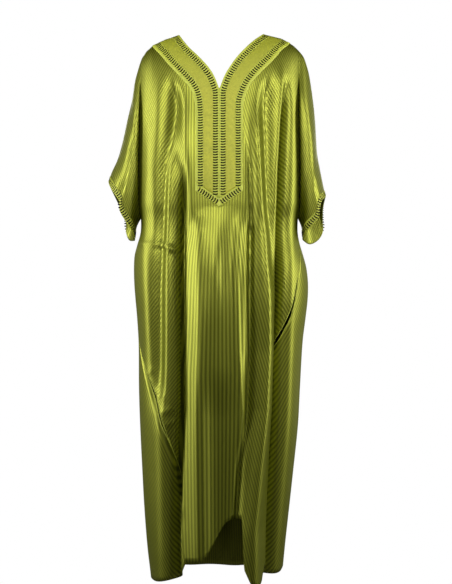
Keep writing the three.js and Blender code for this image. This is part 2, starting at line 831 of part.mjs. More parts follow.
function sleevePoint(side, ring, row, face) {
  const start = armholePoint(side, row, face);
  if (ring === 0) {
    return start;
  }
  const down = row / UNDERARM_ROW;
  const cuffLine = (face === "front" ? CUFF_FRONT : CUFF_BACK)[side];
  const cuff = alongLine(side, cuffLine, down, ["out", "y", "z"]);
  const length = start.distanceTo(cuff);
  const share = ring > SLEEVE_RINGS ? 1 : (ring / SLEEVE_RINGS) * (1 - CUFF_BRAID / length);
  const top = alongLine(side, SLEEVE_TOP[side], share, ["out", null, "z"]);
  const foot = alongLine(side, SLEEVE_FOOT[side], share, ["out", null, "z"]);
  const topEnds = [armholePoint(side, 0, face), alongLine(side, cuffLine, 0, ["out", "y", "z"])];
  const footEnds = [
    armholePoint(side, UNDERARM_ROW, face),
    alongLine(side, cuffLine, 1, ["out", "y", "z"]),
  ];
  const point = start.clone().lerp(cuff, share);
  point.addScaledVector(top.sub(topEnds[0].lerp(topEnds[1], share)), 1 - down);
  point.addScaledVector(foot.sub(footEnds[0].lerp(footEnds[1], share)), down);
  const swell = SLEEVE_SWELL * Math.sin(Math.PI * share ** SWELL_LEAD) * Math.sin(Math.PI * down);
  point.y += face === "front" ? -swell : swell;
  return point;
}

const front = frontSheet();
const back = backSheet();
const sleeves = { left: sleeveSheet("left"), right: sleeveSheet("right") };
const cloth = [front, back, sleeves.left, sleeves.right];
cloth.forEach(setNormals);
shareNormals(cloth);

const group = new THREE.Group();
group.name = "djellaba";

function addPiece(name, colour, sheet, keep, low, high) {
  const geometry = wall(sheet, sheet.cells.filter(keep), low, high, SEAM_GAP / 2);
  const material = new THREE.MeshStandardMaterial({ color: colour, roughness: 0.5 });
  const mesh = new THREE.Mesh(geometry, material);
  mesh.name = name;
  group.add(mesh);
}

function addCloth(name, sheet) {
  addPiece(name, SATIN, sheet, () => true, -CLOTH_WALL, 0);
}

function addTrim(name, colour, sheet, keep) {
  addPiece(name, colour, sheet, keep, BRAID_LIFT, BRAID_LIFT + BRAID_WALL);
}

addCloth("front_panel", front);
addCloth("back_panel", back);
addCloth("sleeve_left", sleeves.left);
addCloth("sleeve_right", sleeves.right);

// Neck trim of the front ends in the point of the placket; that of the back runs round the scoop.
const aboveThePoint = (cell) => cell.row < POINT_ROWS[0];
for (const side of ["left", "right"]) {
  addTrim("inner_braid_" + side, BRAID, front, (cell) =>
    cell.side === side && aboveThePoint(cell) && INNER_BRAID_COLUMNS.includes(cell.column));
  addTrim("broad_band_" + side, GOLD, front, (cell) =>
    cell.side === side && aboveThePoint(cell) && BROAD_BAND_COLUMNS.includes(cell.column));
}
addTrim("outer_braid_front", BRAID, front, (cell) =>
  (aboveThePoint(cell) && OUTER_BRAID_COLUMNS.includes(cell.column)) ||
  (POINT_ROWS.includes(cell.row) && cell.column < BAND_REACH.length - 1));
addTrim("inner_braid_back", BRAID, back, (cell) => INNER_BRAID_COLUMNS.includes(cell.row));
addTrim("broad_band_back", GOLD, back, (cell) => BROAD_BAND_COLUMNS.includes(cell.row));
addTrim("outer_braid_back", BRAID, back, (cell) => OUTER_BRAID_COLUMNS.includes(cell.row));
for (const side of ["left", "right"]) {
  addTrim("cuff_braid_" + side, BRAID, sleeves[side], (cell) => cell.ring === SLEEVE_RINGS);
}

export default group;
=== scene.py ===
import math

import bmesh
import bpy
import numpy as np
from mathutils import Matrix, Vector


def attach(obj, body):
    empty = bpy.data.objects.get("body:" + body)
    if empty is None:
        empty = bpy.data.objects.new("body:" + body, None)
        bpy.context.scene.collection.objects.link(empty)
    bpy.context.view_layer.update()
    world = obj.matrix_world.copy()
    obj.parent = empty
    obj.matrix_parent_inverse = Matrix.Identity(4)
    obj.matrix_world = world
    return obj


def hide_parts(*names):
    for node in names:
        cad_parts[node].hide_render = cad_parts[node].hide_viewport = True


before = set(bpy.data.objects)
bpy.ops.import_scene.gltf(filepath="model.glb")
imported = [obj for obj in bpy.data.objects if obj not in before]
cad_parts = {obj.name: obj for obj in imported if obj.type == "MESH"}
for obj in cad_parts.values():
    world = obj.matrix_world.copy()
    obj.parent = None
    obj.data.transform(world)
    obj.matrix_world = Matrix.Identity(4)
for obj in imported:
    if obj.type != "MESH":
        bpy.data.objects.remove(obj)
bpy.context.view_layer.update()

# The garment is drawn in millimetres and turned to metres when a mesh is made.
# +Z is up, the front faces -Y, and the origin is on the shoulder line.
MM = 0.001

# The panels are laid out in rows and columns: the neck trim's columns first, then the rest of the front.
BAND_REACH = np.array([0, 16, 28.5, 41, 61.0])
BAND_COLUMNS = 4
OUTER_COLUMNS = 22
BACK_COLUMNS = 42
UNDERARM_ROW = 15
SKIRT_ROWS = 15
COLUMN_CROWDING = 1.5

# How finely the cloth is drawn: steps to each row and column. The front's creased rows are finer.
ROW_STEPS = 5
CREASED_STEPS = 11
CREASED_ROWS = (15, 26)
COLUMN_STEPS = 4
BACK_STEPS = 4
SLEEVE_STEPS = 30

# Thickness of the cloth, width of the cuff braid, roundness of the body's section and of its shoulders.
CLOTH = 0.8
CUFF_BRAID = 22
SECTION_POWER = 0.8
SHOULDER_ROUND = 150

# Folds fade in over these lengths: beside the neck trim, down the front, and down the back.
FIRM_REACH = 45
FOLD_FADE = 130
BACK_FADE = 240


def table(names, rows):
    """A table as one array for each named column."""
    columns = np.array(rows, float).T
    return dict(zip(names.split(), columns))


# Half widths to each side, depths to the front and the back, by height.
GIRTH = table("z left right front back", [
    (0, 213, 213, 88, 78),
    (-150, 213, 213, 97, 86),
    (-300, 213, 213, 118, 95),
    (-440, 210, 210, 122, 96),
    (-480, 204, 204, 121, 97),
    (-515, 204, 203, 123, 98),
    (-545, 212, 208, 126, 99),
    (-575, 220, 217, 129, 100),
    (-610, 222, 226, 132, 102),
    (-650, 221, 230, 134, 105),
    (-690, 218, 229, 136, 108),
    (-735, 214, 224, 137, 111),
    (-800, 210, 216, 137, 115),
    (-920, 209, 209, 137, 120),
    (-1014, 206, 204, 137, 123),
    (-1139, 200, 191, 138, 127),
    (-1230, 195, 181, 141, 131),
    (-1330, 187, 170, 147, 137),
    (-1404, 178, 163, 150, 140),
    (-1440, 175, 160, 151, 141),
])
SHOULDER = {
    "left": table(
        "out z", [(0, 0), (105, -4), (142, -16), (175, -32), (190, -46), (201, -62), (216, -95)]
    ),
    "right": table(
        "out z", [(0, 0), (114, -2), (160, -13), (184, -25), (195, -33), (204, -42), (216, -58)]
    ),
}
# The neck edge and the outer edge of its trim, from the shoulder line to the foot of the V.
NECK_BAND = {
    "left": table("out z edge_out edge_z", [
        (105, -4, 175, -32),
        (100, -12, 168, -43),
        (91, -26, 154, -59),
        (76, -45, 135, -83),
        (59, -62, 114, -107),
        (43, -79, 93, -130),
        (27, -98, 77, -149),
        (13, -121, 67, -168),
        (0, -154, 62, -193),
    ]),
    "right": table("out z edge_out edge_z", [
        (114, -2, 184, -25),
        (106, -9, 175, -35),
        (92, -20, 160, -49),
        (77, -34, 139, -76),
        (59, -53, 116, -100),
        (43, -72, 95, -123),
        (28, -94, 79, -144),
        (13, -120, 68, -168),
        (0, -154, 61, -193),
    ]),
}
# Rows down the placket: height at the middle and at the outer edge of the trim.
PLACKET = table(
    "middle edge",
    [(-205, -233), (-262, -276), (-319, -319), (-377, -361), (-434, -393), (-448, -407), (-456, -415)],
)
PLACKET_EDGE = 60
V_FOOT = 8
UNDERARM_Z = -480
BACK_NECK_DROP = 130
BACK_SHOULDER_DROP = (205, 221)
ARMHOLE = table(
    "share left right",
    [(0, 70.7, 73.3), (0.2, 73.5, 74), (0.6, 77.5, 77.5), (0.85, 81, 81), (0.94, 85, 85), (1, 90, 90)],
)
SIDE_SEAM = {
    "left": table("z turn open", [
        (-480, 90, 0),
        (-700, 90, 0),
        (-770, 86, 0),
        (-824, 74, 0),
        (-880, 62, 1.6),
        (-947, 49.5, 2.2),
        (-1010, 42, 1.8),
        (-1060, 37, 0),
        (-1100, 34, 0),
        (-1200, 32, 0),
        (-1300, 31, 0),
        (-1353, 27.5, 0),
    ]),
    "right": table("z turn open", [
        (-480, 90, 0),
        (-540, 81, 0),
        (-600, 68, 0),
        (-645, 60, 1.6),
        (-690, 56.5, 2.4),
        (-731, 53, 2.8),
        (-780, 48, 2.2),
        (-835, 44, 0),
        (-900, 43.5, 0),
        (-1030, 44, 0),
        (-1198, 47.5, 0),
        (-1365, 47, 0),
    ]),
}
FRONT_HEM = table("x z", [
    (-82, -1353),
    (-49, -1350),
    (-31, -1336),
    (-13, -1303),
    (0, -1278),
    (14, -1254),
    (30, -1244),
    (53, -1243),
    (61, -1370),
    (74, -1404),
    (93, -1419),
    (110, -1402),
    (121, -1365),
])
BACK_HEM = table("turn z", [
    (27.5, -1353),
    (33, -1379),
    (42, -1398),
    (62, -1409),
    (90, -1404),
    (130, -1396),
    (180, -1402),
    (230, -1396),
    (270, -1378),
    (288, -1390),
    (303, -1388),
    (313, -1365),
])

# Soft folds of the front: distance across at each of eight levels, then start, end, height and spread.
LEVELS = np.array([-210, -360, -515, -665, -820, -970, -1120, -1275.0])
FRONT_FOLDS = {
    "left outer ridge": (-178, -181, -191, -186, -181, -176, -171, -166, -200, -900, 3, 14),
    "left shoulder ridge": (-156, -163, -161, -158, -156, -156, -156, -156, -90, -640, 3, 14),
    "left chest hollow": (-113, -118, -118, -118, -118, -118, -118, -118, -95, -430, -11, 25),
    "right chest hollow": (124, 124, 124, 124, 124, 124, 124, 124, -110, -560, -9, 23),
    "left slant hollow": (-115, -140, -148, -156, -156, -156, -156, -156, -50, -980, -12, 15),
    "left inner ridge": (-122, -128, -130, -126, -128, -132, -134, -134, -240, -1080, 8, 16),
    "left wide hollow": (-88, -92, -98, -98, -98, -98, -106, -112, -300, -1700, -11, 28),
    "left hollow": (-88, -92, -98, -98, -98, -98, -106, -112, -330, -1700, -25, 7),
    "left long ridge": (-74, -60, -46, -46, -46, -50, -48, -46, -160, -1700, 11, 22),
    "middle hollow": (-3, -3, -3, -3, -3, -1, -1, 2, -860, -1700, -9, 34),
    "placket ridge": (48, 48, 48, 42, 46, 58, 60, 60, -300, -1150, 6, 10),
    "right narrow hollow": (52, 78, 80, 78, 78, 72, 52, 42, -230, -1700, -11, 10),
    "right long ridge": (84, 100, 114, 120, 124, 116, 98, 82, -150, -1700, 19, 21),
    "right slant hollow": (121, 121, 128, 138, 146, 154, 144, 133, -40, -700, -12, 17),
    "right inner ridge": (159, 146, 144, 144, 144, 144, 144, 144, -60, -660, 7, 13),
    "right wide hollow": (172, 166, 160, 156, 150, 148, 142, 138, -110, -1700, -14, 26),
    "right hollow": (172, 166, 160, 156, 150, 148, 142, 138, -110, -1700, -23, 7),
    "right outer ridge": (189, 189, 184, 180, 180, 176, 166, 158, -100, -1500, 5, 14),
    "left flank lobe": (-161, -161, -161, -161, -156, -150, -140, -138, -900, -1700, 10, 26),
}
# The cloth swells out below the point of the placket, narrower as it rises and wide where it fades.
BELLY = table("z x wide height", [
    (-454, -6, 36, 0),
    (-475, -7, 33, 3.6),
    (-500, -8, 29, 7.5),
    (-540, -10, 25, 11.5),
    (-580, -12, 22, 14.0),
    (-630, -14, 21, 15),
    (-700, -14, 26, 12),
    (-800, -14, 34, 7),
    (-920, -14, 40, 2.5),
    (-1060, -14, 44, 0),
])
# Short sharp creases: from one point of the front to another, their height and half width.
PUCKERS = table("x_from z_from x_to z_to height spread", [
    (-206, -546, -140, -552, 2.6, 5),
    (-150, -549, -112, -563, 3.6, 6),
    (-122, -560, -104, -574, 3.0, 7),
    (-182, -880, -172, -868, 1.6, 5),
    (-163, -926, -150, -914, 1.6, 5),
    (-152, -950, -138, -938, 1.8, 5),
    (-140, -978, -124, -968, 1.8, 5),
    (-130, -1008, -116, -1000, 1.6, 5),
    (-112, -1198, -96, -1226, 2.2, 6),
])
# Folds of the back: heights where they start and end, and where they lie, in degrees from the centre front.
BACK_FOLDS = table("start end turn low_turn height spread", [
    (-560, -1700, -110, -106, -8, 10),
    (-330, -1700, -131, -130, 9, 10),
    (-300, -1700, -151, -152, -12, 10),
    (-280, -1700, -172, -174, 11, 10),
    (-260, -1700, 168, 165, -10, 10),
    (-300, -1700, 145, 142, 12, 10),
    (-360, -1700, 122, 120, -11, 10),
])

# Sleeves: the outline from the shoulder end to the tip of the cuff, its underside, and the cuff edge.
SLEEVE_TOP = {
    "left": table("out z", [
        (201, -62),
        (207, -78),
        (212, -95),
        (220, -125),
        (227, -172),
        (238, -218),
        (248, -265),
        (256, -298),
        (266, -330),
        (280, -360),
        (288, -386),
    ]),
    "right": table("out z", [
        (204, -42),
        (213, -52),
        (220, -63),
        (226, -80),
        (234, -111),
        (243, -172),
        (248, -218),
        (251, -265),
        (254, -312),
        (260, -346),
        (270, -396),
        (276, -422),
    ]),
}
SLEEVE_FOOT = {
    "left": table("out z", [(204, -480), (215, -503), (221, -538)]),
    "right": table("out z", [(204, -480), (213, -503), (217, -536)]),
}
CUFF = {
    "left front": table("out y z", [
        (288, 0, -386),
        (283, -26, -398),
        (271, -50, -417),
        (257, -58, -438),
        (256, -60, -463),
        (238, -52, -494),
        (226, -32, -514),
        (221, 0, -538),
    ]),
    "right front": table("out y z", [
        (276, 0, -422),
        (271, -26, -428),
        (263, -50, -437),
        (258, -58, -456),
        (255, -60, -479),
        (238, -52, -501),
        (223, -32, -519),
        (217, 0, -536),
    ]),
    "left back": table("out y z", [
        (288, 0, -386),
        (283, 26, -402),
        (272, 48, -427),
        (258, 62, -457),
        (247, 66, -487),
        (246, 60, -514),
        (237, 36, -535),
        (221, 0, -538),
    ]),
    "right back": table("out y z", [
        (276, 0, -422),
        (274, 26, -434),
        (271, 48, -454),
        (271, 60, -484),
        (272, 62, -513),
        (259, 54, -535),
        (237, 30, -546),
        (217, 0, -536),
    ]),
}
# A sleeve steps out from its seam at once, is full low down, and flattens a little toward the cuff.
SLEEVE_SWELL = 4
SLEEVE_LEAD = 0.08
SLEEVE_STEP = 0.05
SLEEVE_FULLNESS = 0.8
SLEEVE_CORNER = 4
SLEEVE_TAPER = 0.1

SIGN = {"left": -1.0, "right": 1.0}


def mix(a, b, share):
    return a + (b - a) * share


def ease(share):
    s = np.clip(share, 0, 1)
    return s * s * (3 - 2 * s)


def curve(rows, column, place, by="z"):
    """A named column of a table at places along another column, on a smooth curve through its rows."""
    x, y = rows[by], rows[column]
    if x[-1] < x[0]:
        x, y, place = -x, y, -np.asarray(place, float)
    place = np.asarray(place, float)
    slope = np.empty_like(y)
    slope[1:-1] = (y[2:] - y[:-2]) / (x[2:] - x[:-2])
    slope[0] = (y[1] - y[0]) / (x[1] - x[0])
    slope[-1] = (y[-1] - y[-2]) / (x[-1] - x[-2])
    i = np.clip(np.searchsorted(x, place, side="right") - 1, 0, len(x) - 2)
    span = x[i + 1] - x[i]
    s = np.clip((place - x[i]) / span, 0, 1)
    value = mix(y[i], y[i + 1], s * s * (3 - 2 * s))
    value = value + s * (1 - s) ** 2 * span * slope[i]
    return value + s * s * (s - 1) * span * slope[i + 1]


def straight(rows, column, place, by):
    x, y = rows[by], rows[column]
    if x[-1] < x[0]:
        return np.interp(-np.asarray(place, float), -x, y)
    return np.interp(place, x, y)


def steps(values, place):
    """A list of values at whole numbers, read in between on a smooth curve."""
    rows = {"at": np.arange(len(values), dtype=float), "value": np.asarray(values, float)}
    return curve(rows, "value", place, "at")


def wrapped(degrees):
    return (degrees + 180) % 360 - 180


def front_fold(x, z):
    total = np.zeros_like(x)
    for row in FRONT_FOLDS.values():
        start, end, height, spread = row[8:]
        centre = np.interp(-z, -LEVELS, row[:8])
        fade = ease((start - z) / FOLD_FADE) * ease((z - end) / FOLD_FADE)
        total += height * fade * np.exp(-(((x - centre) / spread) ** 2))
    return total


def belly(x, z):
    away = (x - curve(BELLY, "x", z)) / curve(BELLY, "wide", z)
    return np.clip(curve(BELLY, "height", z), 0, None) * np.exp(-(away**2))


def pucker(x, z):
    total = np.zeros_like(x)
    for x_from, z_from, x_to, z_to, height, spread in zip(*PUCKERS.values()):
        run = np.array([x_to - x_from, z_to - z_from])
        share = ((x - x_from) * run[0] + (z - z_from) * run[1]) / (run @ run)
        near = np.clip(share, 0, 1)
        away = np.hypot(x - x_from - near * run[0], z - z_from - near * run[1])
        total += height * np.exp(-((away / spread) ** 2))
    return total


def back_fold(turn, z):
    total = np.zeros_like(turn)
    for start, end, upper, lower, height, spread in zip(*BACK_FOLDS.values()):
        centre = mix(upper, lower, np.clip((z - start) / (end - start), 0, 1))
        fade = ease((start - z) / BACK_FADE) * ease((z - end) / FOLD_FADE)
        total += height * fade * np.exp(-((wrapped(turn - centre) / spread) ** 2))
    return total


def body(turn, z, softness=1.0):
    """Points of the body: turn is degrees round from the centre front, minus on the left."""
    turn, z = np.broadcast_arrays(np.asarray(turn, float), np.asarray(z, float))
    sine, cosine = np.sin(np.radians(turn)), np.cos(np.radians(turn))
    left = turn < 0
    half = np.where(left, curve(GIRTH, "left", z), curve(GIRTH, "right", z))
    depth = np.where(cosine > 0, curve(GIRTH, "front", z), curve(GIRTH, "back", z))
    out = half * np.abs(sine)
    line = np.where(
        left,
        straight(SHOULDER["left"], "z", out, "out"),
        straight(SHOULDER["right"], "z", out, "out"),
    )
    drop = np.clip((line - z) / SHOULDER_ROUND, 0, 1)
    over = np.sqrt(drop * (2 - drop))
    x = np.where(left, -out, out)
    y = -np.sign(cosine) * depth * np.abs(cosine) ** SECTION_POWER * over
    outward = np.stack([sine * depth, -cosine * half], -1)
    outward /= np.linalg.norm(outward, axis=-1, keepdims=True)
    facing = ease(cosine * 5)
    fold = (front_fold(x, z) + pucker(x, z)) * facing + back_fold(turn, z)
    fold = fold * softness * over + belly(x, z) * facing
    return np.stack([x + outward[..., 0] * fold, y + outward[..., 1] * fold, z], -1)


def turn_at(side, out, z):
    share = np.clip(np.abs(out) / curve(GIRTH, side, z), 0, 1)
    return SIGN[side] * np.degrees(np.arcsin(share))


def shoulder_point(side, out):
    z = straight(SHOULDER[side], "z", out, "out")
    return np.stack([SIGN[side] * out, np.zeros_like(out), z], -1)


def band_shoulder(side, reach):
    band = NECK_BAND[side]
    return shoulder_point(side, mix(band["out"][0], band["edge_out"][0], reach / BAND_REACH[-1]))


def outer_shoulder(side, share):
    outs = SHOULDER[side]["out"][3:6]
    return shoulder_point(side, np.interp(share, [0, 0.5, 1], outs))


def shoulder_end(side):
    return SHOULDER[side]["z"][5]


def armhole(side, row, face):
    share = row / UNDERARM_ROW
    z = mix(shoulder_end(side), UNDERARM_Z, share)
    turn = curve(ARMHOLE, side, share, "share")
    points = body(SIGN[side] * (turn if face == "front" else 180 - turn), z)
    points[row == 0] = outer_shoulder(side, np.array([1.0]))
    return points


def seam_place(side, row, face):
    rows = SIDE_SEAM[side]
    z = mix(UNDERARM_Z, rows["z"][-1], row / SKIRT_ROWS)
    half = straight(rows, "open", z, "z") / 2
    turn = curve(rows, "turn", z) + (-half if face == "front" else half)
    return SIGN[side] * turn, z


def seam(side, row, face):
    turn, z = seam_place(side, row, face)
    return body(turn, z)


def drawn_in(turn, rim):
    """Columns near the middle hang plumb; those near the side crowd in as the seam swings forward."""
    rim = np.minimum(rim, 89.999)
    limit = rim**-COLUMN_CROWDING - 90**-COLUMN_CROWDING
    safe = np.maximum(turn, 1e-6)
    return np.where(turn > 1e-5, (safe**-COLUMN_CROWDING + limit) ** (-1 / COLUMN_CROWDING), turn)


def front_surface(side, rows, columns):
    """Points of one half of the front, with their turns and heights, at its rows and columns."""
    count = BAND_COLUMNS + OUTER_COLUMNS
    row, column = np.meshgrid(rows, columns, indexing="ij")
    band = NECK_BAND[side]
    inner = np.append(band["out"], np.zeros(len(PLACKET["middle"])))
    inner_z = np.append(band["z"], PLACKET["middle"])
    edge = np.append(band["edge_out"], np.full(len(PLACKET["edge"]), PLACKET_EDGE))
    edge_z = np.append(band["edge_z"], PLACKET["edge"])

    def upper(at_row, at_column):
        smooth = np.where(at_row <= V_FOOT, 1.0, 0.0)

        def line(values):
            plain = np.interp(at_row, np.arange(len(values)), values)
            neck = steps(values[: V_FOOT + 1], np.minimum(at_row, V_FOOT))
            return mix(plain, neck, smooth)

        share = np.interp(at_column, np.arange(BAND_COLUMNS + 1), BAND_REACH) / BAND_REACH[-1]
        out = mix(line(inner), line(edge), share)
        z = mix(line(inner_z), line(edge_z), share)
        turn = turn_at(side, out, z)
        across = np.clip((at_column - BAND_COLUMNS) / OUTER_COLUMNS, 0, 1)
        rim = SIGN[side] * curve(ARMHOLE, side, at_row / UNDERARM_ROW, "share")
        rim_z = mix(shoulder_end(side), UNDERARM_Z, at_row / UNDERARM_ROW)
        turn = mix(turn, rim, across)
        away = np.abs(curve(GIRTH, side, z) * np.sin(np.radians(turn))) - line(edge)
        soft = np.where(at_column > BAND_COLUMNS, ease(away / FIRM_REACH), 0)
        return turn, mix(z, rim_z, across), soft

    turn, z, soft = upper(np.minimum(row, UNDERARM_ROW), column)
    start_turn, start_z, start_soft = upper(np.full_like(row, UNDERARM_ROW), column)
    down = (row - UNDERARM_ROW) / SKIRT_ROWS
    low = row > UNDERARM_ROW
    rim, rim_z = seam_place(side, np.maximum(row - UNDERARM_ROW, 0), "front")
    hem_rim, _ = seam_place(side, np.full_like(row, SKIRT_ROWS), "front")
    even = 90 * column / count
    plumb = mix(np.abs(start_turn), even, ease(down * 2.5))
    low_turn = SIGN[side] * drawn_in(plumb, np.abs(rim))
    hem_turn = SIGN[side] * drawn_in(even, np.abs(hem_rim))
    hem_x = curve(GIRTH, side, np.full_like(row, FRONT_HEM["z"][0])) * np.sin(np.radians(hem_turn))
    low_z = mix(start_z, np.interp(hem_x, FRONT_HEM["x"], FRONT_HEM["z"]), down)
    low_z = np.where(column == count, rim_z, low_z)
    below = ease((start_z[:, :1] - low_z) / (FIRM_REACH * 1.5))
    turn = np.where(low, low_turn, turn)
    z = np.where(low, low_z, z)
    soft = np.where(low, np.maximum(start_soft, below), soft)
    points = body(turn, z, soft)
    trim = columns <= BAND_COLUMNS
    if rows[0] == 0:
        points[0, trim] = band_shoulder(side, np.interp(columns[trim], range(5), BAND_REACH))
        points[0, ~trim] = outer_shoulder(side, (columns[~trim] - BAND_COLUMNS) / OUTER_COLUMNS)
    if columns[-1] == count:
        upper_rows = (rows > 0) & (rows <= UNDERARM_ROW)
        points[upper_rows, -1] = armhole(side, rows[upper_rows], "front")
        lower_rows = rows > UNDERARM_ROW
        points[lower_rows, -1] = seam(side, rows[lower_rows] - UNDERARM_ROW, "front")
    return {"points": points, "turn": turn, "z": z}


ARMHOLE_START = BAND_COLUMNS + 2
SKIRT_START = ARMHOLE_START + UNDERARM_ROW


def back_surface(rows, across):
    """Points of the back, with degrees from the centre back and heights, at its rows and shares across."""

    def edge(side):
        points = np.empty((len(rows), 3))
        turns = np.empty(len(rows))
        for i, row in enumerate(rows):
            if row <= BAND_COLUMNS:
                point = band_shoulder(side, np.interp(row, range(5), BAND_REACH))
            elif row <= ARMHOLE_START:
                point = outer_shoulder(side, (row - BAND_COLUMNS) / 2)
            elif row <= SKIRT_START:
                point = armhole(side, np.array([row - ARMHOLE_START]), "back")[0]
            else:
                point = seam(side, np.array([row - SKIRT_START]), "back")[0]
            points[i] = point
            if row > SKIRT_START:
                turns[i] = 180 - abs(seam_place(side, row - SKIRT_START, "back")[0])
            elif row > ARMHOLE_START:
                turns[i] = curve(ARMHOLE, side, (row - ARMHOLE_START) / UNDERARM_ROW, "share")
            else:
                turns[i] = abs(turn_at(side, point[0], point[2]))
        return points, turns

    (left, left_turn), (right, right_turn) = edge("left"), edge("right")
    row = rows[:, None]
    u = across[None, :]
    reach = np.interp(rows, range(5), BAND_REACH)
    drops = [BACK_NECK_DROP + BAND_REACH[-1], *BACK_SHOULDER_DROP]
    drop = np.where(
        rows <= BAND_COLUMNS, BACK_NECK_DROP + reach, np.interp(rows - BAND_COLUMNS, range(3), drops)
    )
    arm_share = (rows - ARMHOLE_START) / UNDERARM_ROW
    drop = np.where(rows > ARMHOLE_START, mix(drops[2], -UNDERARM_Z, arm_share), drop)[:, None]
    past = np.clip((row - BAND_COLUMNS) / (SKIRT_START - BAND_COLUMNS), 0, 1)
    level = ease(np.minimum(1, past * 1.25))
    sweep = mix(-np.cos(np.pi * u), 2 * u - 1, level)
    half = np.where(sweep < 0, left_turn[:, None], right_turn[:, None])
    end_z = mix(left[:, 2:], right[:, 2:], u)
    bow = np.sin(np.pi * u).clip(0, 1) ** mix(0.9, 1.7, level)
    angle = sweep * half
    z = mix(end_z, -drop, bow)
    trim_drop = BACK_NECK_DROP + BAND_REACH[-1]
    soft = ease((-z - trim_drop) / (FIRM_REACH * 2))
    down = np.clip((row - SKIRT_START) / SKIRT_ROWS, 0, 1)
    low = (row > SKIRT_START) & np.ones_like(u, bool)
    low_angle = mix(-left_turn[:, None], right_turn[:, None], u)
    hem = curve(BACK_HEM, "z", 180 + low_angle, "turn")
    low_z = mix(UNDERARM_Z, hem, down)
    angle = np.where(low, low_angle, angle)
    z = np.where(low, low_z, z)
    soft = np.where(low, 1.0, soft)
    turn = np.where(angle < 0, -180 - angle, 180 - angle)
    points = body(turn, z, soft)
    points[:, 0] = left
    points[:, -1] = right
    return {"points": points, "angle": angle, "z": z}


def along(rows, place):
    """Points of a line by share of its rows."""
    count = len(rows["z"]) - 1
    y = steps(rows["y"], place * count) if "y" in rows else np.zeros_like(place)
    return np.stack([steps(rows["out"], place * count), y, steps(rows["z"], place * count)], -1)


def sleeve_surface(side, places, row):
    """Points of a sleeve, each ring down its front and up its back.

    Places run from 0 at the armhole to 1 at the braid and 2 at the cuff edge; rows as on the armhole.
    """
    mirror = np.array([SIGN[side], 1, 1])
    down = row / UNDERARM_ROW
    rings = []
    for place in places:
        faces = []
        for face in ("front", "back"):
            start = armhole(side, row, face)
            cuff = along(CUFF[side + " " + face], down) * mirror
            length = np.linalg.norm(cuff - start, axis=1)
            to_braid = 1 - CUFF_BRAID / length
            share = place * to_braid if place <= 1 else mix(to_braid, 1, place - 1)
            top = along(SLEEVE_TOP[side], share) * mirror
            foot = along(SLEEVE_FOOT[side], share) * mirror
            point = mix(start, cuff, share[:, None])
            top_gap = top - mix(start[:1], cuff[:1], share[:, None])
            foot_gap = foot - mix(start[-1:], cuff[-1:], share[:, None])
            point = point + top_gap * (1 - down[:, None]) + foot_gap * down[:, None]
            swell = SLEEVE_SWELL * np.sin(np.pi * share) * np.sin(np.pi * down)
            depth = np.abs(mix(start[:, 1], cuff[:, 1], share**SLEEVE_LEAD)) + swell
            below = np.clip(2 * down - 1, 0, 1)
            full = np.where(below > 0, depth.max() * np.sqrt(1 - below**SLEEVE_CORNER), depth)
            fuller = mix(depth, full, SLEEVE_FULLNESS * ease(share / SLEEVE_STEP))
            depth = np.maximum(depth, fuller) * (1 - SLEEVE_TAPER * share)
            point[:, 1] = -depth if face == "front" else depth
            faces.append(point)
        rings.append(np.vstack([faces[0], faces[1][-2:0:-1]]))
    return np.array(rings)


def grid_normals(points, closed=False):
    """Unit normals of a grid of points, from its neighbours along rows and columns."""
    if closed:
        wide = np.concatenate([points[:, -1:], points, points[:, :1]], 1)
        across = wide[:, 2:] - wide[:, :-2]
    else:
        across = np.gradient(points, axis=1)
    down = np.gradient(points, axis=0)
    normal = np.cross(across, down)
    return normal / np.maximum(np.linalg.norm(normal, axis=-1, keepdims=True), 1e-9)


def grid_quads(rows, columns, closed=False):
    ids = np.arange(rows * columns).reshape(rows, columns)
    if closed:
        ids = np.concatenate([ids, ids[:, :1]], 1)
    corners = [ids[:-1, :-1], ids[:-1, 1:], ids[1:, 1:], ids[1:, :-1]]
    return np.stack(corners, -1).reshape(-1, 4)


def add_object(name, data):
    obj = bpy.data.objects.new(name, data)
    bpy.context.scene.collection.objects.link(obj)
    return obj


def make_object(name, points, faces, uv=None):
    """A smooth mesh object from points in millimetres; uv has one pair for each face corner."""
    mesh = bpy.data.meshes.new(name)
    mesh.from_pydata((np.asarray(points) * MM).tolist(), [], np.asarray(faces).tolist())
    if uv is not None:
        layer = mesh.uv_layers.new(name="cloth")
        layer.data.foreach_set("uv", np.asarray(uv, np.float32).reshape(-1))
    mesh.polygons.foreach_set("use_smooth", np.ones(len(mesh.polygons), bool))
    mesh.update()
    return add_object(name, mesh)


def thicken(obj, thickness):
    shell = obj.modifiers.new("wall", "SOLIDIFY")
    shell.thickness = thickness * MM
    shell.offset = -1
    return obj


# A section of middle size: its half width, and its depths to the front and the back.
MIDDLE_HALF = 213
MIDDLE_FRONT = 122
MIDDLE_BACK = 100


def arc_length(turn):
    """Millimetres round the body from the centre front, on a section of middle size."""
    fine = np.radians(np.linspace(0, 180, 721))
    depth = np.where(np.cos(fine) > 0, MIDDLE_FRONT, MIDDLE_BACK)
    x = MIDDLE_HALF * np.sin(fine)
    y = -np.sign(np.cos(fine)) * depth * np.abs(np.cos(fine)) ** SECTION_POWER
    run = np.append(0, np.cumsum(np.hypot(np.diff(x), np.diff(y))))
    return np.sign(turn) * np.interp(np.abs(turn), np.degrees(fine), run)


# Stripes run down the cloth. In each zone, up to the fold named, they lean by so many degrees.
STRIPE = 6.0
FRONT_ZONES = [
    ("left slant hollow", 31),
    ("left hollow", 22),
    ("right narrow hollow", 0),
    ("right slant hollow", -16),
    (None, -29),
]
# The upright zone's stripes are fewer, so wider, and fan out over a length below the underarm.
CENTRE_SHARE = 0.86
CENTRE_FAN = 0.5
FAN_LENGTH = 400
# The left zones lean more and more over a length below their start.
LOW_LEAN = 9
LOW_LEAN_START = -520
LOW_LEAN_LENGTH = 500
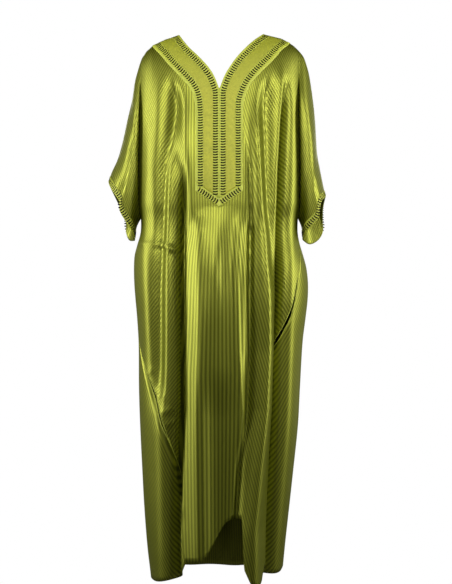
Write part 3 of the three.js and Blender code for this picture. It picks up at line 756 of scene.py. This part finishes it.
# The back's stripes lean past so many degrees from its middle.
BACK_LEAN = 20
BACK_LEAN_START = 86
# The heights where a lean shifts no stripe to the side.
FRONT_PIVOT = -700
BACK_PIVOT = -900
# The sleeves' stripes lean too, and are narrower.
SLEEVE_LEAN = 20
SLEEVE_STRIPE = STRIPE * 0.8


def front_stripes(turn, z, x):
    """Stripe count and length down the cloth, at the four corners of each front cell."""
    middle_x, middle_z = x.mean(-1), z.mean(-1)
    around = arc_length(turn)
    count = np.zeros_like(around)
    done = np.zeros(middle_x.shape, bool)
    for name, lean in FRONT_ZONES:
        if name:
            limit = np.interp(-middle_z, -LEVELS, FRONT_FOLDS[name][:8])
            here = ~done & (middle_x < limit)
        else:
            here = ~done
        if lean == 0:
            fan = 1 + CENTRE_FAN * np.clip(UNDERARM_Z - z, 0, FAN_LENGTH) / FAN_LENGTH
            value = CENTRE_SHARE * around / fan
        else:
            more = (LOW_LEAN if lean > 0 else 0) * ease((LOW_LEAN_START - middle_z) / LOW_LEAN_LENGTH)
            angle = np.radians(lean + more)[..., None]
            value = around * np.cos(angle) - (z - FRONT_PIVOT) * np.sin(angle)
        count[here] = value[here]
        done |= here
    return np.stack([count / STRIPE, z / STRIPE], -1)


def back_stripes(angle, z):
    """The same for the back: plumb in the middle, leaning on both flanks."""
    around = arc_length(angle)
    middle = angle.mean(-1)
    leaning = np.abs(middle) > BACK_LEAN_START
    turn = np.radians(-BACK_LEAN * np.sign(middle) * leaning)[..., None]
    value = around * np.cos(turn) - (z - BACK_PIVOT) * np.sin(turn)
    return np.stack([value / STRIPE, z / STRIPE], -1)


def corners_of(values, quads):
    return np.asarray(values).reshape(-1)[quads]


UPPER_ROWS = np.arange(CREASED_ROWS[0] * ROW_STEPS) / ROW_STEPS
MIDDLE_ROWS = np.arange(CREASED_ROWS[0] * CREASED_STEPS, CREASED_ROWS[1] * CREASED_STEPS) / CREASED_STEPS
LAST_ROW = UNDERARM_ROW + SKIRT_ROWS
LOWER_ROWS = np.arange(CREASED_ROWS[1] * ROW_STEPS, LAST_ROW * ROW_STEPS + 1) / ROW_STEPS
FRONT_ROWS = np.concatenate([UPPER_ROWS, MIDDLE_ROWS, LOWER_ROWS])
FRONT_COLUMNS = np.arange((BAND_COLUMNS + OUTER_COLUMNS) * COLUMN_STEPS + 1) / COLUMN_STEPS
BACK_ROWS = np.arange((SKIRT_START + SKIRT_ROWS) * ROW_STEPS + 1) / ROW_STEPS
BACK_SHARES = np.linspace(0, 1, BACK_COLUMNS * BACK_STEPS + 1)
ARMHOLE_ROWS = np.arange(UNDERARM_ROW * ROW_STEPS + 1) / ROW_STEPS
SLEEVE_PLACES = np.append(np.linspace(0, 1, SLEEVE_STEPS + 1), [1.25, 1.5, 1.75, 2])
# Corners nearer than this are one, where the two halves of the front meet.
WELD_REACH = 0.02


def weld(obj):
    work = bmesh.new()
    work.from_mesh(obj.data)
    bmesh.ops.remove_doubles(work, verts=work.verts, dist=WELD_REACH * MM)
    work.to_mesh(obj.data)
    work.free()
    return obj


def build_front():
    points, faces, uv = [], [], []
    start = 0
    for side in ("left", "right"):
        half = front_surface(side, FRONT_ROWS, FRONT_COLUMNS)
        quads = grid_quads(len(FRONT_ROWS), len(FRONT_COLUMNS))
        coords = front_stripes(
            corners_of(half["turn"], quads),
            corners_of(half["z"], quads),
            corners_of(half["points"][..., 0], quads),
        )
        if side == "right":
            quads, coords = quads[:, ::-1], coords[:, ::-1]
        points.append(half["points"].reshape(-1, 3))
        faces.append(quads + start)
        uv.append(coords)
        start += half["turn"].size
    return weld(make_object("front_cloth", np.vstack(points), np.vstack(faces), np.concatenate(uv)))


def build_back():
    back = back_surface(BACK_ROWS, BACK_SHARES)
    quads = grid_quads(len(BACK_ROWS), len(BACK_SHARES))
    uv = back_stripes(corners_of(back["angle"], quads), corners_of(back["z"], quads))
    return make_object("back_cloth", back["points"].reshape(-1, 3), quads, uv)


def build_sleeve(side):
    points = sleeve_surface(side, SLEEVE_PLACES, ARMHOLE_ROWS)
    rings, around = points.shape[:2]
    quads = grid_quads(rings, around, closed=True)
    flat = points.reshape(-1, 3)
    corner = flat[quads]
    lean = math.radians(SLEEVE_LEAN * SIGN[side])
    count = corner[..., 0] * math.cos(lean) + corner[..., 2] * math.sin(lean)
    uv = np.stack([count / SLEEVE_STRIPE, corner[..., 2] / STRIPE], -1)
    if side == "left":
        quads, uv = quads[:, ::-1], uv[:, ::-1]
    return make_object("sleeve_cloth_" + side, flat, quads, uv)


# Every strip of trim: its least thickness, and how far at most its underside lies off the cloth.
STRIP_THICK = 0.9
STRIP_FLOAT = 0.3
# Braid: a ladder of dark rungs on a light ground, each rung two stitches that meet in a shallow chevron.
RUNG_PITCH = 6.7
RUNG_WIDTH = 12.4
RUNG_THICK = 3.7
RUNG_HEIGHT = 0.75
RUNG_LEAN = 0.22
RUNG_LIFT = 1.1
CUFF_RUNG_LIFT = 1.0
INNER_RUNG = 9.8
OUTER_RUNG = 48.6
CUFF_RUNG = 1.45
POINT_ROWS = (13, 15)


def strip_mesh(points, flip, top, closed=False):
    """A strip laid on a grid of points: top is the height of its face at each column or row.

    The columns of a closed grid meet in a ring.
    """
    rows, columns = points.shape[:2]
    normal = grid_normals(points, closed) * (-1 if flip else 1)
    upper = points + normal * top[..., None]
    lower = points + normal * np.minimum(top - STRIP_THICK, STRIP_FLOAT)[..., None]
    count = rows * columns
    quads = grid_quads(rows, columns, closed)
    if flip:
        quads = quads[:, ::-1]
    faces = [quads, quads[:, ::-1] + count]
    ids = np.arange(count).reshape(rows, columns)
    if closed:
        rims = [(ids[0], flip), (ids[-1], not flip)]
    else:
        rims = [(np.concatenate([ids[0, :-1], ids[:-1, -1], ids[-1, :0:-1], ids[:0:-1, 0]]), flip)]
    for ring, ahead in rims:
        after = np.roll(ring, -1)
        rim = np.stack([ring, after, after + count, ring + count], -1)
        faces.append(rim if ahead else rim[:, ::-1])
    return np.vstack([upper.reshape(-1, 3), lower.reshape(-1, 3)]), np.vstack(faces)


def rung_parts():
    """A rung of two stitches in its own frame: x across the braid, y along it, z up."""
    stations = np.array([-0.5, -0.42, 0.0, 0.42, 0.5])
    fullness = np.array([0.45, 0.9, 1.0, 0.9, 0.45])
    ring = np.radians([0, 45, 90, 135, 180])
    points, faces = [], []
    for half in (-1, 1):
        base = len(points)
        for station, full in zip(stations, fullness):
            along_x = half * RUNG_WIDTH * 0.25 + station * RUNG_WIDTH * 0.54
            shift = -RUNG_LEAN * abs(along_x) * (1 if half < 0 else 0.5)
            for angle in ring:
                along_y = shift + math.cos(angle) * full * RUNG_THICK / 2
                points.append([along_x, along_y, math.sin(angle) * full * RUNG_HEIGHT])
        for i in range(4):
            for j in range(4):
                a = base + i * 5 + j
                faces.append([a, a + 1, a + 6, a + 5])
        for i in (0, 4):
            faces.append([base + i * 5 + j for j in (0, 1, 3, 4)])
    return np.array(points), faces


def frames_along(grid, flip):
    """Places a pitch apart down the middle column of a three-column grid, with their frames."""
    normal = grid_normals(grid)[:, 1] * (-1 if flip else 1)
    middle = grid[:, 1]
    run = np.append(0, np.cumsum(np.linalg.norm(np.diff(middle, axis=0), axis=1)))
    count = max(2, int(round(run[-1] / RUNG_PITCH)))
    at = (np.arange(count) + 0.5) * run[-1] / count

    def read(values):
        return np.stack([np.interp(at, run, values[:, k]) for k in range(3)], -1)

    place = read(middle)
    up = read(normal)
    forward = read(np.gradient(middle, axis=0))
    up /= np.linalg.norm(up, axis=1, keepdims=True)
    forward -= up * (forward * up).sum(1, keepdims=True)
    forward /= np.linalg.norm(forward, axis=1, keepdims=True)
    side = np.cross(forward, up)
    return place, side, forward, up


def rungs_on(grid, flip, lift=RUNG_LIFT):
    """Rungs along a three-column grid, as points and faces."""
    shape, faces = rung_parts()
    place, side, forward, up = frames_along(grid, flip)
    points = (
        place[:, None]
        + side[:, None] * shape[None, :, :1]
        + forward[:, None] * shape[None, :, 1:2]
        + up[:, None] * (shape[None, :, 2:] + lift)
    )
    count = len(shape)
    all_faces = (np.array(faces)[None] + np.arange(len(place))[:, None, None] * count).reshape(-1, 4)
    return points.reshape(-1, 3), all_faces


def join_parts(name, parts, materials):
    """One object from parts of (points, faces, material index)."""
    points, faces, index = [], [], []
    start = 0
    for part_points, part_faces, material in parts:
        points.append(part_points)
        faces.append(np.asarray(part_faces) + start)
        index += [material] * len(part_faces)
        start += len(part_points)
    obj = make_object(name, np.vstack(points), np.vstack(faces))
    for material in materials:
        obj.data.materials.append(material)
    obj.data.polygons.foreach_set("material_index", index)
    obj.data.update()
    return obj


def reach_columns(reach):
    return np.interp(reach, BAND_REACH, range(5))


def front_trim(side, rows, reach):
    return front_surface(side, np.asarray(rows, float), reach_columns(np.asarray(reach, float)))["points"]


def back_trim(reach, shares):
    return back_surface(reach_columns(np.asarray(reach, float)), np.asarray(shares, float))["points"]


def beside(place, apart):
    return [place - apart, place, place + apart]


# Across each braid: reach and height of its face, low at both edges with a fine cord along the open one.
INNER_FACE = table(
    "reach top", [(0.15, 0.9), (1.0, 1.5), (2.4, 1.5), (3.2, 1.1), (15.0, 1.1), (15.85, 0.9)]
)
OUTER_FACE = table(
    "reach top", [(41.15, 0.9), (42, 1.1), (55, 1.1), (56, 1.5), (58.5, 1.5), (60.85, 0.8)]
)
POINT_FACE = table("share top", [(0, 0.9), (0.1, 1.1), (0.7, 1.1), (0.8, 1.5), (0.93, 1.5), (1, 0.8)])
CUFF_FACE = table(
    "place top", [(1.01, 0.9), (1.1, 1.5), (1.2, 1.1), (1.8, 1.1), (1.88, 1.5), (1.98, 0.9)]
)
# The broad band has low ribs side by side.
BAND_RIBS = 11
RIB_REACH = np.linspace(16.15, 40.85, BAND_RIBS * 4 + 1)
RIB_TOP = 1.0 + 0.18 * np.cos(np.linspace(0, BAND_RIBS * 2 * np.pi, len(RIB_REACH)))
# How finely the trims follow the cloth: steps to a row of the front, rows of the point, shares of the back.
TRIM_STEPS = 6
POINT_STEPS = 7
BACK_TRIM_SHARES = np.linspace(0, 1, 121)


def build_neck_trims():
    """The neck trim of each side of the front: inner braid, broad band, and the outer braid in one."""
    pieces = {}
    down = np.arange(0, POINT_ROWS[0] * TRIM_STEPS + 1) / TRIM_STEPS
    point_rows = np.linspace(*POINT_ROWS, POINT_STEPS)
    point_top = np.interp(np.linspace(0, 1, POINT_STEPS), POINT_FACE["share"], POINT_FACE["top"])
    middle_row = sum(POINT_ROWS) / 2 - 0.1
    outer_parts = []
    for side in ("left", "right"):
        flip = side == "right"
        grid = front_trim(side, down, INNER_FACE["reach"])
        line = front_trim(side, down[1:], beside(INNER_RUNG, 1))
        inner = (*strip_mesh(grid, flip, INNER_FACE["top"][None]), 0)
        pieces["inner_braid_" + side] = [inner, (*rungs_on(line, flip), 1)]
        grid = front_trim(side, down, RIB_REACH)
        pieces["broad_band_" + side] = [(*strip_mesh(grid, flip, RIB_TOP[None]), 0)]
        grid = front_trim(side, down, OUTER_FACE["reach"])
        outer_parts.append((*strip_mesh(grid, flip, OUTER_FACE["top"][None]), 0))
        grid = front_trim(side, point_rows, np.linspace(0, BAND_REACH[-1], 13))
        outer_parts.append((*strip_mesh(grid, flip, point_top[:, None]), 0))
        line = front_trim(side, np.append(down[1:], [13.15, 13.3]), beside(OUTER_RUNG, 1))
        outer_parts.append((*rungs_on(line, flip), 1))
        line = front_trim(side, beside(middle_row, 0.1), np.linspace(54, 3, 12)).transpose(1, 0, 2)
        outer_parts.append((*rungs_on(line, flip), 1))
    pieces["outer_braid_front"] = outer_parts
    return pieces


def back_braid(face, rung):
    """A braid round the back of the neck: its ground and its rungs."""
    grid = back_trim(face["reach"], BACK_TRIM_SHARES)
    line = back_trim(beside(rung, 1), BACK_TRIM_SHARES[2:-2]).transpose(1, 0, 2)
    return [(*strip_mesh(grid, False, face["top"][:, None]), 0), (*rungs_on(line, True), 1)]


def build_back_trims():
    band = strip_mesh(back_trim(RIB_REACH, BACK_TRIM_SHARES), False, RIB_TOP[:, None])
    return {
        "inner_braid_back": back_braid(INNER_FACE, INNER_RUNG),
        "broad_band_back": [(*band, 0)],
        "outer_braid_back": back_braid(OUTER_FACE, OUTER_RUNG),
    }


def build_cuff_trims():
    pieces = {}
    for side in ("left", "right"):
        flip = side == "left"
        grid = sleeve_surface(side, CUFF_FACE["place"], ARMHOLE_ROWS)
        parts = [(*strip_mesh(grid, flip, CUFF_FACE["top"][:, None], closed=True), 0)]
        line = sleeve_surface(side, beside(CUFF_RUNG, 0.05), ARMHOLE_ROWS).transpose(1, 0, 2)
        line = np.concatenate([line, line[:1]])
        parts.append((*rungs_on(line, not flip, CUFF_RUNG_LIFT), 1))
        pieces["cuff_braid_" + side] = parts
    return pieces


# The rolled edges of the hand slits: heights between which they run, and their radius.
CORD_SPAN = {"left": (-838, -1190), "right": (-560, -850)}
CORD_RADIUS = 0.9
CORD_SIDES = 6
CORD_STEPS = 90


def tube(points, radius):
    """A thin round cord along a line of points."""
    forward = np.gradient(points, axis=0)
    forward /= np.linalg.norm(forward, axis=1, keepdims=True)
    side = np.cross(forward, [0, -1, 0])
    side /= np.linalg.norm(side, axis=1, keepdims=True)
    up = np.cross(side, forward)
    turn = np.radians(np.arange(CORD_SIDES) * 360 / CORD_SIDES)[None, :, None]
    ring = points[:, None] + (side[:, None] * np.cos(turn) + up[:, None] * np.sin(turn)) * radius
    return ring.reshape(-1, 3), grid_quads(len(points), CORD_SIDES, closed=True)


def build_slit_cords():
    """The rolled edges of both hand slits, front and back."""
    parts = []
    for side, (high, low) in CORD_SPAN.items():
        lowest = SIDE_SEAM[side]["z"][-1]
        heights = np.linspace(high, low, CORD_STEPS)
        rows = (heights - UNDERARM_Z) / (lowest - UNDERARM_Z) * SKIRT_ROWS
        for face in ("front", "back"):
            parts.append((*tube(seam(side, rows, face), CORD_RADIUS), 0))
    return parts


# Materials.
def new_material(name):
    material = bpy.data.materials.new(name)
    material.use_nodes = True
    tree = material.node_tree
    return material, tree, tree.nodes["Principled BSDF"]


def new_group(name, inputs, outputs):
    """A node group with sockets by name and kind, and the sockets of its two ends."""
    group = bpy.data.node_groups.new(name, "ShaderNodeTree")
    for direction, sockets in (("INPUT", inputs), ("OUTPUT", outputs)):
        for label, kind in sockets.items():
            group.interface.new_socket(label, in_out=direction, socket_type="NodeSocket" + kind)
    start = group.nodes.new("NodeGroupInput")
    end = group.nodes.new("NodeGroupOutput")
    return group, start.outputs, end.inputs


def calculate(tree, operation, *values):
    """The result of a math node whose inputs are numbers or outputs of other nodes."""
    node = tree.nodes.new("ShaderNodeMath")
    node.operation = operation
    for socket, value in zip(node.inputs, values):
        if isinstance(value, (int, float)):
            socket.default_value = value
        else:
            tree.links.new(value, socket)
    return node.outputs[0]


def mix_tones(tree, factor, *tones):
    """A mix of two tones by a factor; a tone is a colour or an output of another node."""
    node = tree.nodes.new("ShaderNodeMix")
    node.data_type = "RGBA"
    tree.links.new(factor, node.inputs["Factor"])
    for name, tone in zip("AB", tones):
        if isinstance(tone, tuple):
            node.inputs[name].default_value = (*tone, 1)
        else:
            tree.links.new(tone, node.inputs[name])
    return node.outputs["Result"]


def add_bump(tree, shader, height, strength, distance):
    bump = tree.nodes.new("ShaderNodeBump")
    bump.inputs["Strength"].default_value = strength
    bump.inputs["Distance"].default_value = distance
    tree.links.new(height, bump.inputs["Height"])
    tree.links.new(bump.outputs["Normal"], shader.inputs["Normal"])


def stripe_group():
    """The stripe across the cloth as a soft mask, and its wave as a height."""
    outputs = {"Stripe": "Float", "Height": "Float"}
    group, start, end = new_group("satin stripe", {"Across": "Float", "Softness": "Float"}, outputs)
    wave = calculate(group, "SINE", calculate(group, "MULTIPLY", start["Across"], 2 * math.pi))
    level = group.nodes.new("ShaderNodeMapRange")
    level.interpolation_type = "SMOOTHSTEP"
    group.links.new(wave, level.inputs["Value"])
    group.links.new(calculate(group, "MULTIPLY", start["Softness"], -1), level.inputs["From Min"])
    group.links.new(start["Softness"], level.inputs["From Max"])
    group.links.new(level.outputs["Result"], end["Stripe"])
    group.links.new(wave, end["Height"])
    return group


STRIPE_GROUP = stripe_group()


def satin_material():
    """Two tones of satin in stripes, with a glossier sheen on the light ones."""
    material, tree, shader = new_material("satin")
    uv = tree.nodes.new("ShaderNodeUVMap")
    uv.uv_map = "cloth"
    split = tree.nodes.new("ShaderNodeSeparateXYZ")
    tree.links.new(uv.outputs["UV"], split.inputs[0])
    stripe = tree.nodes.new("ShaderNodeGroup")
    stripe.node_tree = STRIPE_GROUP
    stripe.inputs["Softness"].default_value = 0.9
    tree.links.new(split.outputs["X"], stripe.inputs["Across"])
    mask = stripe.outputs["Stripe"]
    tone = mix_tones(tree, mask, (0.014, 0.018, 0.0006), (0.08, 0.09, 0.003))
    tree.links.new(tone, shader.inputs["Base Color"])
    sheen = mix_tones(tree, mask, (0.6, 0.64, 0.09), (0.96, 1.0, 0.15))
    tree.links.new(sheen, shader.inputs["Specular Tint"])
    add_bump(tree, shader, stripe.outputs["Height"], 0.3, 0.0004)
    shader.inputs["Roughness"].default_value = 0.45
    shader.inputs["IOR"].default_value = 3.0
    return material


def weave_group():
    """Fine threads that cross on the slant at a place in space, as a mask, and how uneven they are."""
    inputs = {"Place": "Vector", "Scale": "Float"}
    group, start, end = new_group("fine weave", inputs, {"Threads": "Float", "Uneven": "Float"})
    waves = []
    for lean in (0.8, -0.8):
        across = group.nodes.new("ShaderNodeVectorMath")
        across.operation = "DOT_PRODUCT"
        across.inputs[1].default_value = (1, 0.6, lean)
        group.links.new(start["Place"], across.inputs[0])
        scaled = calculate(group, "MULTIPLY", across.outputs["Value"], start["Scale"])
        waves.append(calculate(group, "SINE", scaled))
    noise = group.nodes.new("ShaderNodeTexNoise")
    noise.inputs["Scale"].default_value = 190
    noise.inputs["Detail"].default_value = 3
    group.links.new(start["Place"], noise.inputs["Vector"])
    group.links.new(calculate(group, "MULTIPLY_ADD", *waves, 0.5), end["Threads"])
    group.links.new(noise.outputs[0], end["Uneven"])
    return group


WEAVE_GROUP = weave_group()


def woven_material(name, dark, light, roughness, scale, bump_height):
    """Thread woven or wound close: two tones, a fine relief and a dull sheen."""
    material, tree, shader = new_material(name)
    place = tree.nodes.new("ShaderNodeTexCoord")
    weave = tree.nodes.new("ShaderNodeGroup")
    weave.node_tree = WEAVE_GROUP
    weave.inputs["Scale"].default_value = scale
    tree.links.new(place.outputs["Object"], weave.inputs["Place"])
    shift = calculate(tree, "SUBTRACT", weave.outputs["Threads"], 0.45)
    amount = calculate(tree, "MULTIPLY_ADD", weave.outputs["Uneven"], 0.9, shift)
    tree.links.new(mix_tones(tree, amount, dark, light), shader.inputs["Base Color"])
    add_bump(tree, shader, weave.outputs["Threads"], 0.5, bump_height)
    shader.inputs["Roughness"].default_value = roughness
    return material


def paint_shade_to_shoulder(material, tone):
    """Paint shade into a woven material's colour: turn it toward a darker tone near the shoulder line."""
    tree = material.node_tree
    base = tree.nodes["Principled BSDF"].inputs["Base Color"]
    woven = base.links[0].from_socket
    place = tree.nodes.new("ShaderNodeTexCoord")
    parts = tree.nodes.new("ShaderNodeSeparateXYZ")
    tree.links.new(place.outputs["Object"], parts.inputs[0])
    fade = tree.nodes.new("ShaderNodeMapRange")
    fade.inputs["From Min"].default_value = -0.17
    fade.inputs["From Max"].default_value = -0.03
    fade.inputs["To Max"].default_value = 0.65
    tree.links.new(parts.outputs["Z"], fade.inputs["Value"])
    tree.links.new(mix_tones(tree, fade.outputs["Result"], woven, tone), base)


SATIN = satin_material()
GOLD = woven_material("broad band", (0.24, 0.26, 0.017), (0.70, 0.67, 0.048), 0.6, 1500, 0.0004)
# Painted shade: the broad band's colour darkens toward the shoulders, where it curves over to the back.
paint_shade_to_shoulder(GOLD, (0.24, 0.27, 0.01))
EDGE = woven_material("braid ground", (0.30, 0.34, 0.03), (0.66, 0.70, 0.07), 0.55, 2100, 0.0003)
THREAD = woven_material("dark thread", (0.006, 0.005, 0.0005), (0.02, 0.017, 0.002), 0.9, 2600, 0.0002)
THREAD.node_tree.nodes["Principled BSDF"].inputs["Specular IOR Level"].default_value = 0.15


def place_piece(obj, node):
    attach(obj, "root")
    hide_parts(node)


def declare_cloth(cloth, node):
    """One panel of cloth, hung from the shoulders: it takes the satin and stands in for its part, which is
    hidden.
    """
    cloth.data.materials.append(SATIN)
    place_piece(cloth, node)


trims = {**build_neck_trims(), **build_back_trims(), **build_cuff_trims()}
for node, parts in trims.items():
    if node.startswith("broad"):
        trim = join_parts(node.replace("broad", "woven"), parts, [GOLD])
        place_piece(trim, node)
    else:
        trim = join_parts(node.replace("braid", "ladder"), parts, [EDGE, THREAD])
        place_piece(trim, node)

slit_cords = join_parts("slit_edges", build_slit_cords(), [EDGE])
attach(slit_cords, "root")

front_cloth = thicken(build_front(), CLOTH)
declare_cloth(front_cloth, "front_panel")
back_cloth = thicken(build_back(), CLOTH)
declare_cloth(back_cloth, "back_panel")
for side in ("left", "right"):
    sleeve = thicken(build_sleeve(side), CLOTH)
    declare_cloth(sleeve, "sleeve_" + side)


# Floor, light and camera.
FLOOR_REACH = 30
FLOOR_Z = -1.62


def area_light(name, place, aim, size, power, spread=180):
    data = bpy.data.lights.new(name, "AREA")
    data.shape = "RECTANGLE"
    data.size, data.size_y = size
    data.energy = power
    data.spread = math.radians(spread)
    light = add_object(name, data)
    light.location = place
    light.rotation_euler = (Vector(aim) - Vector(place)).to_track_quat("-Z", "Y").to_euler()


def seen_and_lit(tree, seen, lit, target):
    """One shader for what the camera sees, another for the light that reaches the cloth."""
    path = tree.nodes.new("ShaderNodeLightPath")
    blend = tree.nodes.new("ShaderNodeMixShader")
    tree.links.new(path.outputs["Is Camera Ray"], blend.inputs[0])
    tree.links.new(lit, blend.inputs[1])
    tree.links.new(seen, blend.inputs[2])
    tree.links.new(blend.outputs[0], target)


def build_floor():
    mesh = bpy.data.meshes.new("floor")
    corners = [(x * FLOOR_REACH, y * FLOOR_REACH, 0) for x, y in ((-1, -1), (1, -1), (1, 1), (-1, 1))]
    mesh.from_pydata(corners, [], [(0, 1, 2, 3)])
    floor = add_object("floor", mesh)
    floor.location = (0, 0, FLOOR_Z)
    material, tree, shader = new_material("pale floor")
    shader.inputs["Base Color"].default_value = (0.12, 0.12, 0.12, 1)
    shader.inputs["Roughness"].default_value = 0.9
    glow = tree.nodes.new("ShaderNodeEmission")
    glow.inputs["Strength"].default_value = 1.0
    seen_and_lit(tree, glow.outputs[0], shader.outputs[0], tree.nodes["Material Output"].inputs["Surface"])
    mesh.materials.append(material)


def build_world():
    world = bpy.data.worlds.new("studio")
    world.use_nodes = True
    bpy.context.scene.world = world
    tree = world.node_tree
    tree.nodes.clear()
    shades = []
    for strength in (1.0, 0.02):
        shade = tree.nodes.new("ShaderNodeBackground")
        shade.inputs["Color"].default_value = (1, 1, 1, 1)
        shade.inputs["Strength"].default_value = strength
        shades.append(shade.outputs[0])
    seen_and_lit(tree, *shades, tree.nodes.new("ShaderNodeOutputWorld").inputs["Surface"])


build_floor()
build_world()
area_light("top light", (0, -2.3, 0.4), (0, 0, -0.1), (2.4, 0.5), 9.5, spread=70)
area_light("left light", (-2.0, -0.5, -0.15), (0, 0, -0.5), (0.6, 1.8), 36)
area_light("right light", (2.0, -0.5, -0.15), (0, 0, -0.5), (0.6, 1.8), 36)
area_light("back light", (0, 2.4, 0.2), (0, 0, -0.6), (2.4, 0.8), 12, spread=110)
area_light("left rim light", (-1.8, 1.6, -0.4), (0, 0, -0.6), (1.2, 2.2), 3)
area_light("right rim light", (1.8, 1.6, -0.4), (0, 0, -0.6), (1.2, 2.2), 5)

camera_data = bpy.data.cameras.new("camera")
camera_data.lens = 106.7
camera_data.sensor_width = 36
camera = add_object("camera", camera_data)
camera.location = (0.017, -4.5, -0.671)
camera.rotation_euler = (math.pi / 2, 0, 0)
bpy.context.scene.camera = camera
bpy.context.scene.view_settings.view_transform = "Standard"
